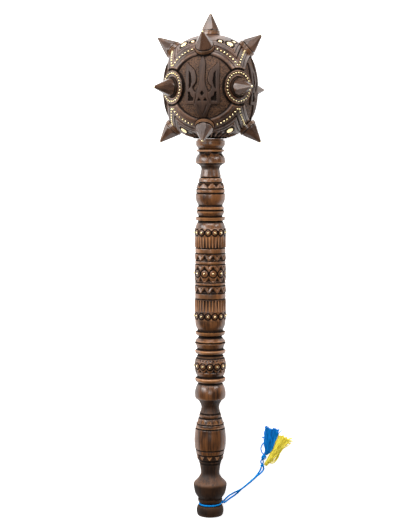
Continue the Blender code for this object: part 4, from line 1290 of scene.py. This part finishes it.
# The plan is rolled up: what lies past the seam goes, and the points of one side become those of the other
triangles = triangles[abs(corners[triangles].mean(axis=1)[:, 0]) < SEAM]
corners[:, 0] = np.where(corners[:, 0] > SEAM - 0.002, -SEAM, corners[:, 0])
corners, index = np.unique(np.round(corners, 3), axis=0, return_inverse=True)
triangles = index.reshape(-1)[triangles]
whole = [triangles[:, i] != triangles[:, j] for i, j in ((0, 1), (1, 2), (0, 2))]
triangles = triangles[np.all(whole, axis=0)]
used, triangles = np.unique(triangles, return_inverse=True)
triangles = triangles.reshape(-1, 3)
corners = corners[used]
azimuths = np.degrees(corners[:, 0] / PLAN_RADIUS)
radii, painted_shade, worn = shaft_carving(azimuths, corners[:, 1])
surface = np.stack([-np.sin(np.radians(azimuths)) * radii, -corners[:, 1],
                    np.cos(np.radians(azimuths)) * radii], axis=-1)


def close_end(surface, triangles, ring, rounds):
    """Closes an open end of the shaft with rounds of points (share of the radius, depth) and a middle."""
    for share, depth in rounds:
        start = len(surface)
        outer = surface[ring]
        surface = np.vstack([surface, outer * (share, 1, share) + (0, depth, 0)])
        inner = np.arange(start, start + len(ring))
        for i in range(len(ring)):
            a, b, c, d = ring[i - 1], ring[i], inner[i], inner[i - 1]
            triangles = np.vstack([triangles, [(a, b, c), (a, c, d)]])
        ring = inner
    surface = np.vstack([surface, [(0, surface[ring[0], 1], 0)]])
    fan = [(ring[i - 1], ring[i], len(surface) - 1) for i in range(len(ring))]
    return surface, np.vstack([triangles, fan])


top_ring = np.where(abs(corners[:, 1] - NECK_END) < 0.002)[0]
end_ring = np.where(abs(corners[:, 1] - SHAFT_END) < 0.002)[0]
top_ring = top_ring[np.argsort(azimuths[top_ring])]
end_ring = end_ring[np.argsort(-azimuths[end_ring])]
surface, triangles = close_end(surface, triangles, top_ring, [(0.6, 0)])
surface, triangles = close_end(surface, triangles, end_ring, [(0.62, 0), (0.95, 0.5), (0.5, 0), (0.3, 0.6)])
outwards = surface * (1, 0, 1)
outwards /= np.maximum(1e-6, np.linalg.norm(outwards, axis=1))[:, None]
painted_shade, worn = [np.r_[values, np.zeros(len(surface) - len(values))] for values in (painted_shade, worn)]
shaft_mesh = carving("carved_shaft", surface, triangles, 48, outwards=outwards, painted_shade=painted_shade, worn=worn)
shaft_mesh.transform(mace_frame)
shaft_walnut = varnished_walnut("shaft_walnut", (0.175, 0.066, 0.020), (0.028, 0.010, 0.0035),
                                (0.43, 0.19, 0.07), 0.8, 0.8, 0.97, 0.28)
shaft_mesh.materials.append(shaft_walnut)
stand_in("carved_shaft", shaft_mesh, "walnut", "shaft")

# ================================================================ the studs of the shaft
# A bright round brass bead in the middle of every ringed stud, driven in like a nail.

STUD_RADIUS = 1.15
stud_seats = []
for station, count, middle, _, _ in STUD_ROWS:
    for i in range(count):
        azimuth = middle + 360 * i / count
        seat = shaft_carving(np.array([azimuth]), np.array([station]))[0][0] - 0.1
        out = outward(azimuth, 0.0)
        stud_seats.append(facing(out * seat + (0, -station, 0), out))
stud = round_head("stud", STUD_RADIUS, STUD_RADIUS * 0.85, 12, 4, 0.6)
stand_in("shaft_studs", set_in_places("shaft_studs", stud, stud_seats, bead_brass), "brass")

# ================================================================ the cord
# Blue cord of three twisted plies, about 2 mm thick. It goes round the groove of the foot and is hitched
# there, and its two ends run loose over the table to the knot that carries the tassels.

CORD_RADIUS, PLY_TURN, CORD_STEP = 0.001, 0.0065, 0.00045
LOOP_STATION, LOOP_RADIUS, DRAWN_SHORT = 492.9, 12.5, 0.6
HITCH, HITCH_RADII, KNOT_THREAD = (14.9, -279.7, 12.4), (1.9, 2.1, 2.1), 0.85
STRAND_KNOT, STRAND_RADII, STRAND_LEAN = (63.2, -237.9, 2.1), (2.5, 2.3, 2.0), 0.8
UPPER_STRAND = [(16.9, -278.6, 11.3), (19.4, -276.4, 7.6), (23.4, -273.6, 3.8), (28.4, -271.0, 2.3),
                (32.2, -269.0, 2.7), (35.6, -267.3, 3.4), (40.2, -264.2, 3.6), (44.6, -260.8, 3.6),
                (48.6, -257.6, 3.5), (52.8, -254.0, 3.5), (56.8, -250.2, 3.5), (60.8, -247.3, 2.5),
                (63.8, -244.3, 1.3), (64.9, -241.9, 1.3), (64.4, -240.2, 1.5)]
LOWER_STRAND = [(16.8, -281.2, 10.9), (19.5, -280.1, 7.2), (23.0, -278.0, 3.4), (27.4, -275.5, 1.4),
                (31.2, -272.8, 1.05), (34.2, -270.2, 1.05), (37.6, -266.8, 1.05), (42.2, -262.9, 1.05),
                (46.6, -259.2, 1.05), (50.6, -255.8, 1.05), (54.6, -252.0, 1.05), (58.0, -247.7, 1.05),
                (60.6, -243.5, 1.05), (61.8, -240.2, 1.4)]


def smooth_route(points, spacing, closed=False):
    """Evenly spaced points, in metres, on a smooth line through points in millimetres."""
    points = np.array(points, float) / 1000
    ends = (points[-1:], points[:2]) if closed else ([2 * points[0] - points[1]],
                                                     [2 * points[-1] - points[-2]])
    stops = np.vstack([ends[0], points, ends[1]])
    found = []
    for a, b, c, d in zip(stops, stops[1:], stops[2:], stops[3:]):
        for t in np.arange(12) / 12:
            bend = (c - a) * t + (2 * a - 5 * b + 4 * c - d) * t**2 + (3 * b - a - 3 * c + d) * t**3
            found.append(b + bend / 2)
    found = np.array([*found, points[0] if closed else points[-1]])
    gone = np.r_[0, np.cumsum(np.linalg.norm(np.diff(found, axis=0), axis=1))]
    even = np.linspace(0, gone[-1], round(gone[-1] / spacing) + 1)
    return np.stack([np.interp(even, gone, column) for column in found.T], axis=-1)


def twisted_cord(name, route, radius, finish, closed=False, plies=3, turn=PLY_TURN, sides=18):
    """A mesh of a cord of twisted plies along a route, which knows where the valleys between them are."""
    length = np.linalg.norm(np.diff(route, axis=0), axis=1).sum()
    route = route[:-1] if closed else route
    ahead = np.roll(route, -1, axis=0) - np.roll(route, 1, axis=0)
    if not closed:
        ahead[0], ahead[-1] = route[1] - route[0], route[-1] - route[-2]
    ahead = unit(ahead)
    side = np.cross(ahead[0], (0.3, 0.2, 0.9))
    across = []
    for heading in ahead:
        side = side - heading * (side @ heading)
        side = side / np.linalg.norm(side)
        across.append(side)
    across = np.array(across)
    over = np.cross(ahead, across)

    # A closed cord must meet itself, so its turns make up for the frame's own turn on the way round
    missed = math.atan2(across[-1] @ over[0], across[-1] @ across[0]) if closed else 0.0
    turns = round(length / turn * plies) / plies * 2 * math.pi - missed
    gone = np.arange(len(route)) / (len(route) - (0 if closed else 1))
    t = np.arange(sides) * 2 * math.pi / sides
    valley = 1 - abs(np.cos(plies * t / 2))
    angle = t + gone[:, None] * turns
    size = radius * (1.1 - 0.3 * valley)[:, None]
    round_it = np.cos(angle)[..., None] * across[:, None] + np.sin(angle)[..., None] * over[:, None]
    corners = (route[:, None] + size * round_it).reshape(-1, 3)
    rows = len(route)
    faces = wall(rows, sides, closed)
    if not closed:
        faces += [tuple(range(sides - 1, -1, -1)), tuple(range((rows - 1) * sides, rows * sides))]
    mesh = bpy.data.meshes.new(name)
    mesh.from_pydata(corners, [], faces)
    mark(mesh, "valley", np.tile(valley, rows))
    mesh.shade_smooth()
    mesh.materials.append(finish)
    return mesh


def dyed_thread(name, bright, deep, rough):
    """Matt dyed thread with fine fibres, with painted shade in the valleys between its plies."""
    made, tree, shader = new_material(name)
    shader.inputs["Roughness"].default_value = rough
    shader.inputs["Specular IOR Level"].default_value = 0.15
    fibres = noise(tree, 1400.0, 3.0)
    # Painted shade in the valleys between the plies, with the fibres' and the clumps' own darker tone
    valley_shade_and_tone = larger(tree, eased(tree, known(tree, "valley"), 0.3, 1.0),
                       eased(tree, fibres, 0.5, 0.75, 0.0, 0.6))
    valley_shade_and_tone = larger(tree, valley_shade_and_tone, product(tree, known(tree, "number"), 0.7))
    tree.links.new(mixed(tree, valley_shade_and_tone, (*bright, 1), (*deep, 1)), shader.inputs["Base Color"])
    fuzz = add(tree, "ShaderNodeBump", {"Height": fibres, "Strength": 0.5, "Distance": 0.0002})
    tree.links.new(fuzz.outputs["Normal"], shader.inputs["Normal"])
    return made


blue_thread = dyed_thread("blue_thread", (0.0, 0.29, 0.82), (0.0, 0.065, 0.27), 0.75)
yellow_dyed = dyed_thread("yellow_thread", (1.0, 0.88, 0.12), (0.55, 0.40, 0.008), 0.7)

# The loop lies round the groove, and is drawn straight out to its hitch
hitch_x, hitch_y, hitch_z = mace_frame.inverted() @ (Vector(HITCH) / 1000)
hitch_reach = math.hypot(hitch_x, hitch_z) - DRAWN_SHORT
opened = math.acos(LOOP_RADIUS / hitch_reach)
loop_route = []
for t in np.linspace(0, 2 * math.pi, 241)[:-1]:
    aside = abs(t - math.pi) - (math.pi - opened)
    out = LOOP_RADIUS / math.cos(max(0.0, aside))
    turn_to = t + math.atan2(hitch_z, hitch_x)
    level = (hitch_y + LOOP_STATION) * (out - LOOP_RADIUS) / (hitch_reach - LOOP_RADIUS) - LOOP_STATION
    loop_route.append(mace_frame @ Vector((out * math.cos(turn_to), level, out * math.sin(turn_to))))
loop_route.append(loop_route[0])
loop_mesh = twisted_cord("cord_round_foot", np.array(loop_route), CORD_RADIUS, blue_thread, closed=True)
stand_in("cord_round_foot", loop_mesh, "blue_cord", "cord_loop")


def overhand_knot(name, centre, radii, thickness, finish, lean=0.0):
    """A small tight knot of cord that fills an ellipsoid, with its radii and place in millimetres."""
    t = np.linspace(0, 2 * math.pi, 97)
    shape = np.stack([np.sin(t) + 2 * np.sin(2 * t), np.cos(t) - 2 * np.cos(2 * t), -1.9 * np.sin(3 * t)],
                     axis=-1)
    shape = shape / (3, 3, 1.9) * (np.array(radii) - thickness * 0.9)
    route = (shape @ np.array(Matrix.Rotation(lean, 3, "Z")).T + centre) / 1000
    return twisted_cord(name, route, thickness / 1000, finish, closed=True, sides=12, turn=0.004)


hitch_mesh = overhand_knot("cord_hitch_knot", HITCH, HITCH_RADII, KNOT_THREAD, blue_thread)
stand_in("cord_hitch_knot", hitch_mesh, "blue_cord", "cord_hitch")
knot_mesh = overhand_knot("strand_knot", STRAND_KNOT, STRAND_RADII, KNOT_THREAD, blue_thread, STRAND_LEAN)
stand_in("strand_knot", knot_mesh, "blue_cord", "tassel_knot")

# ================================================================ the tassels
# Two tassels of loose thread hang from the cord's knot: a blue one on a link and a wound knot of its own, and
# a yellow one tied straight to it. Each is a bundle of threads, bound at the top and cut ragged below.

THREAD_RADIUS, LOOSE_THICKNESS, CLUMPS = 0.42, 1.7, 9
THREAD_COUNT, THREAD_STEP, WANDER = 160, 0.001, 0.0009
BINDING_TURNS, BINDING_THICKNESS = 4, 0.3
LINK_CENTRE, LINK_HALVES, LINK_THREAD = (62.8, -233.5, 1.0), (1.5, 2.6), 0.0008
WOUND_KNOT, WOUND_RADII, WOUND_THREAD, WINDS = (64.8, -227.7, 3.3), (3.2, 3.2, 3.3), 0.00062, 11

# Each bundle's stations from its top: (x, y, half width, half height)
BLUE_BUNDLE = [(66.9, -224.6, 1.3, 1.5), (68.0, -222.6, 2.2, 2.2), (70.4, -218.6, 4.8, 3.0),
               (71.2, -213.6, 6.6, 3.3), (72.2, -207.6, 7.8, 3.3), (73.9, -200.0, 8.8, 3.0),
               (75.6, -190.0, 9.8, 2.6)]
YELLOW_BUNDLE = [(66.7, -237.7, 1.2, 1.4), (68.2, -235.2, 2.0, 1.9), (73.2, -228.9, 3.4, 2.9),
                 (79.0, -221.2, 4.6, 3.3), (84.2, -212.9, 6.4, 3.2), (91.9, -201.8, 10.0, 2.6)]

# One tree thickens every line of a mesh into a round thread
threading, thread_in, thread_out = node_group(
    "threads along lines",
    [("Lines", "NodeSocketGeometry"), ("Radius", "NodeSocketFloat"), ("Sides", "NodeSocketInt"),
     ("Finish", "NodeSocketMaterial")],
    [("Threads", "NodeSocketGeometry")], "GeometryNodeTree")
drawn = add(threading, "GeometryNodeMeshToCurve", {"Mesh": thread_in.outputs["Lines"]})
round_section = add(threading, "GeometryNodeCurvePrimitiveCircle",
                    {"Resolution": thread_in.outputs["Sides"], "Radius": thread_in.outputs["Radius"]})
thick = add(threading, "GeometryNodeCurveToMesh",
            {"Curve": drawn.outputs["Curve"], "Profile Curve": round_section.outputs["Curve"],
             "Scale": named(threading, "thickness"), "Fill Caps": True})
smoothed = add(threading, "GeometryNodeSetShadeSmooth", {"Geometry": thick.outputs["Mesh"]})
thread_real = add(threading, "GeometryNodeRealizeInstances", {"Geometry": smoothed.outputs["Geometry"]})
dyed = add(threading, "GeometryNodeSetMaterial",
           {"Geometry": thread_real.outputs[0], "Material": thread_in.outputs["Finish"]})
threading.links.new(dyed.outputs[0], thread_out.inputs["Threads"])


def threads(name, lines, numbers, loose, finish):
    """One mesh of round threads along lines of points in metres. The last few are loose and lie thicker."""
    line_mesh = bpy.data.meshes.new(f"{name} lines")
    edges, start = [], 0
    for line in lines:
        edges += [(start + i, start + i + 1) for i in range(len(line) - 1)]
        start += len(line)
    line_mesh.from_pydata(np.vstack(lines), edges, [])
    thickness = [1.0] * (len(lines) - loose) + [LOOSE_THICKNESS] * loose
    lengths = [len(line) for line in lines]
    mark(line_mesh, "number", np.repeat(numbers, lengths))
    mark(line_mesh, "thickness", np.repeat(thickness, lengths))
    return grown_mesh(name, line_mesh, threading, Radius=THREAD_RADIUS / 1000, Sides=6, Finish=finish)


def bundle_lines(bundle, seed, shortest, slant):
    """The lines of a tassel's threads, which spread as its stations (x, y, half width, half height) say. The
    threads cling in clumps, each cut to its own length, shorter towards the right by the slant."""
    random = np.random.default_rng(seed)
    stations = np.array(bundle)
    middle = smooth_route([(x, y, 0) for x, y, _, _ in bundle], 0.0011)
    gone = np.linspace(0, 1, len(middle))
    marks = np.r_[0, np.cumsum(np.hypot(*np.diff(stations[:, :2], axis=0).T))]
    half_width = np.interp(gone, marks / marks[-1], stations[:, 2]) / 1000
    half_height = np.interp(gone, marks / marks[-1], stations[:, 3]) / 1000
    heading = unit(np.gradient(middle, axis=0))
    sideways = np.stack([heading[:, 1], -heading[:, 0], 0 * gone], axis=-1)
    clump_end = random.uniform(shortest, 1.0, CLUMPS)
    clump_tone = random.permutation(np.linspace(0, 0.8, CLUMPS))
    lines, numbers = [], []
    for _ in range(THREAD_COUNT):
        out, turn = math.sqrt(random.uniform(0, 1)), random.uniform(0, 2 * math.pi)
        across = out * math.cos(turn)
        clump = min(CLUMPS - 1, int((across + 1) / 2 * CLUMPS))
        kept = gone <= clump_end[clump] - slant * max(0.0, across) - random.uniform(0, 0.12)
        waves = random.uniform(1.5, 3.5, 2)
        phase = random.uniform(0, 2 * math.pi, 2)
        stray = WANDER * gone**0.8 * np.sin(2 * math.pi * waves[0] * gone + phase[0])
        lift = WANDER * gone**0.8 * np.sin(2 * math.pi * waves[1] * gone + phase[1])
        cling = ((clump + 0.5) * 2 / CLUMPS - 1 - across) * 0.8 * gone**1.5
        splay = 1 + 0.22 * random.normal() * gone**4
        flat = half_width * (across + cling) * splay + stray
        level = half_height * (1 + out * math.sin(turn)) + lift
        line = middle + sideways * flat[:, None]
        line[:, 2] = np.maximum(level, THREAD_RADIUS * 1.1 / 1000)
        lines.append(line[kept])
        numbers.append(min(1.0, clump_tone[clump] + random.uniform(0, 0.25)))
    return lines, numbers


def binding(bundle, start, end):
    """A line of thread wound round the top of a bundle."""
    stations = np.array(bundle) / 1000
    marks = np.r_[0, np.cumsum(np.hypot(*np.diff(stations[:, :2], axis=0).T))]
    t = np.linspace(0, 1, 16 * BINDING_TURNS)
    place = start / 1000 + (end - start) / 1000 * t
    x, y, wide, tall = (np.interp(place, marks, column) for column in stations.T)
    heading = (stations[1, :2] - stations[0, :2]) / marks[1]
    angle = 2 * math.pi * BINDING_TURNS * t
    out = (wide + BINDING_THICKNESS / 1000) * np.cos(angle)
    level = tall + (tall + BINDING_THICKNESS / 1000) * np.sin(angle) + 0.0004
    return np.stack([x + heading[1] * out, y - heading[0] * out, level], axis=-1)


def tassel(name, slot, node, bundle, seed, cut_off, slant, bound, strays, tones, finish):
    """A tassel of threads in a bundle, with its binding and its stray threads, each by its own route."""
    lines, numbers = bundle_lines(bundle, seed, cut_off, slant)
    lines += [binding(bundle, *bound), *(smooth_route(stops, THREAD_STEP) for stops in strays)]
    mesh = threads(name, lines, numbers + tones, len(strays), finish)
    return stand_in(name, mesh, slot, node)


blue_strays = (
    [(66.4, -225.2, 3.0), (65.0, -224.4, 2.2), (62.4, -221.8, 1.0), (61.4, -217.6, 0.7), (62.4, -213.7, 0.7),
     (64.7, -210.7, 1.2), (67.5, -208.5, 2.4)],
    [(69.0, -205.0, 1.8), (66.0, -204.4, 1.0), (62.3, -203.6, 0.7)],
    [(68.2, -200.4, 2.0), (66.8, -197.4, 1.2), (66.6, -194.0, 0.8)],
)
blue_skirt = tassel("blue_threads", "blue_cord", "blue_tassel", BLUE_BUNDLE, 5, 0.93, -0.02, (0.3, 2.4),
                    blue_strays, [0.9, 0.5, 0.4, 0.2], blue_thread)
yellow_strays = (
    [(69.5, -233.6, 2.0), (75.8, -235.2, 0.7), (79.7, -232.0, 0.7), (82.9, -226.9, 0.7), (84.2, -221.5, 1.2),
     (86.0, -217.0, 1.8)],
    [(70.5, -232.2, 2.0), (75.4, -233.2, 0.7), (78.8, -230.8, 0.7), (81.6, -226.4, 0.8), (83.2, -221.5, 1.6)],
    [(88.5, -212.4, 2.0), (94.6, -208.9, 1.2), (100.0, -208.6, 0.7)],
    [(88.0, -214.4, 1.6), (93.6, -211.4, 1.0), (98.0, -211.2, 0.7)],
    [(89.0, -210.0, 2.2), (95.0, -206.0, 1.4), (99.4, -204.8, 0.7)],
)
yellow_skirt = tassel("yellow_threads", "yellow_thread", "yellow_tassel", YELLOW_BUNDLE, 9, 0.9, 0.0,
                      (0.4, 2.6), yellow_strays, [1.0, 0.1, 0.2, 0.2, 0.4, 0.1], yellow_dyed)

# The link, a ring of thread between the two knots
link_turn = np.linspace(0, 2 * math.pi, 49)
link_route = np.stack([LINK_CENTRE[0] + LINK_HALVES[0] * np.cos(link_turn),
                       LINK_CENTRE[1] + LINK_HALVES[1] * np.sin(link_turn),
                       np.full(len(link_turn), LINK_CENTRE[2])], axis=-1) / 1000
link_mesh = twisted_cord("link_ring", link_route, LINK_THREAD, blue_thread, closed=True, sides=12,
                         turn=0.005)
link_ring = stand_in("link_ring", link_mesh, "blue_cord", "tassel_link")

# The wound knot: thread wound round and round from end to end
knot_axis = Vector((2.7, 2.9, 0)).normalized()
knot_frame = knot_axis.to_track_quat("Z", "Y").to_matrix()
rise = np.linspace(0.06, math.pi - 0.06, 200)
winding = np.stack([np.sin(rise) * np.cos(WINDS * rise), np.sin(rise) * np.sin(WINDS * rise), np.cos(rise)],
                   axis=-1)
winding = (winding * (np.array(WOUND_RADII) - 0.5)) @ np.array(knot_frame).T
wound = twisted_cord("wound_knot", (winding + WOUND_KNOT) / 1000, WOUND_THREAD, blue_thread, plies=2,
                     sides=10, turn=0.004)
wound_knot = stand_in("wound_knot", wound, "blue_cord", "blue_tassel_knot")

# The two loose ends of the cord. The knot and all that hangs on it are listed with the upper one.
strand_knot = bpy.data.objects["strand_knot"]
for name, stops, node, carried in (("upper_strand", UPPER_STRAND, "cord_strand_upper",
                                    [strand_knot, link_ring, wound_knot, blue_skirt, yellow_skirt]),
                                   ("lower_strand", LOWER_STRAND, "cord_strand_lower", [])):
    route = smooth_route(stops, CORD_STEP)
    route[:, 2] = np.maximum(route[:, 2], 1.15 * CORD_RADIUS)
    strand = stand_in(name, twisted_cord(name, route, CORD_RADIUS, blue_thread), "blue_cord", node)
    length = float(np.linalg.norm(np.diff(route, axis=0), axis=1).sum())

# ================================================================ the table, the light and the camera
# A plain white table, lit from both sides by soft boxes, and a camera that looks straight down on it from
# above the middle of the mace.

TABLE_HALF, TABLE_GAP = 3, 0.0002
FILM_HEIGHT, FOCAL_LENGTH = 36, 88.135593  # millimetres
table = bpy.data.meshes.new("table_top")
table.from_pydata([(TABLE_HALF * x, TABLE_HALF * y, 0) for x, y in ((-1, -1), (1, -1), (1, 1), (-1, 1))], [],
                  [(0, 1, 2, 3)])
table_top = in_scene("table_top", table)
table_top.location.z = -TABLE_GAP
white, _, table_shader = new_material("white_table")
table_shader.inputs["Base Color"].default_value = (0.9, 0.9, 0.9, 1)
table_shader.inputs["Roughness"].default_value = 0.9
table_shader.inputs["Emission Color"].default_value = (1, 1, 1, 1)
table_shader.inputs["Emission Strength"].default_value = 0.75
table.materials.append(white)


def soft_box(name, place, width, height, power, target=(0, 0, 0.03)):
    """A rectangular soft light that faces a point."""
    lamp = bpy.data.lights.new(name, "AREA")
    lamp.shape = "RECTANGLE"
    lamp.size, lamp.size_y, lamp.energy = width, height, power
    box = in_scene(name, lamp)
    box.location = place
    box.rotation_euler = (Vector(target) - Vector(place)).to_track_quat("-Z", "Y").to_euler()


soft_box("left_soft_box", (-1.1, 0.45, 0.8), 0.45, 1.1, 17, (0, 0.1, 0.03))
soft_box("right_soft_box", (1.05, 0.8, 0.8), 0.35, 0.9, 10, (0, 0.18, 0.03))
soft_box("top_soft_box", (-0.1, 0.95, 0.75), 1.0, 0.5, 12, (0, 0.2, 0.05))
soft_box("overhead_soft_box", (-0.1, 0.15, 2.2), 0.7, 0.7, 9)

world = bpy.data.worlds.new("studio")
bpy.context.scene.world = world
world.use_nodes = True
world.node_tree.nodes["Background"].inputs["Color"].default_value = (1, 1, 1, 1)
world.node_tree.nodes["Background"].inputs["Strength"].default_value = 0.08
bpy.context.scene.view_settings.view_transform = "Standard"

camera_data = bpy.data.cameras.new("camera")
camera_data.sensor_fit = "VERTICAL"
camera_data.sensor_height, camera_data.lens = FILM_HEIGHT, FOCAL_LENGTH
camera = in_scene("camera", camera_data)
camera.location = (-0.00041, head_centre.y - 0.2058, 1.5756)
camera.rotation_euler = (0, 0, math.radians(0.05))
camera_data.clip_end = 10
bpy.context.scene.camera = camera
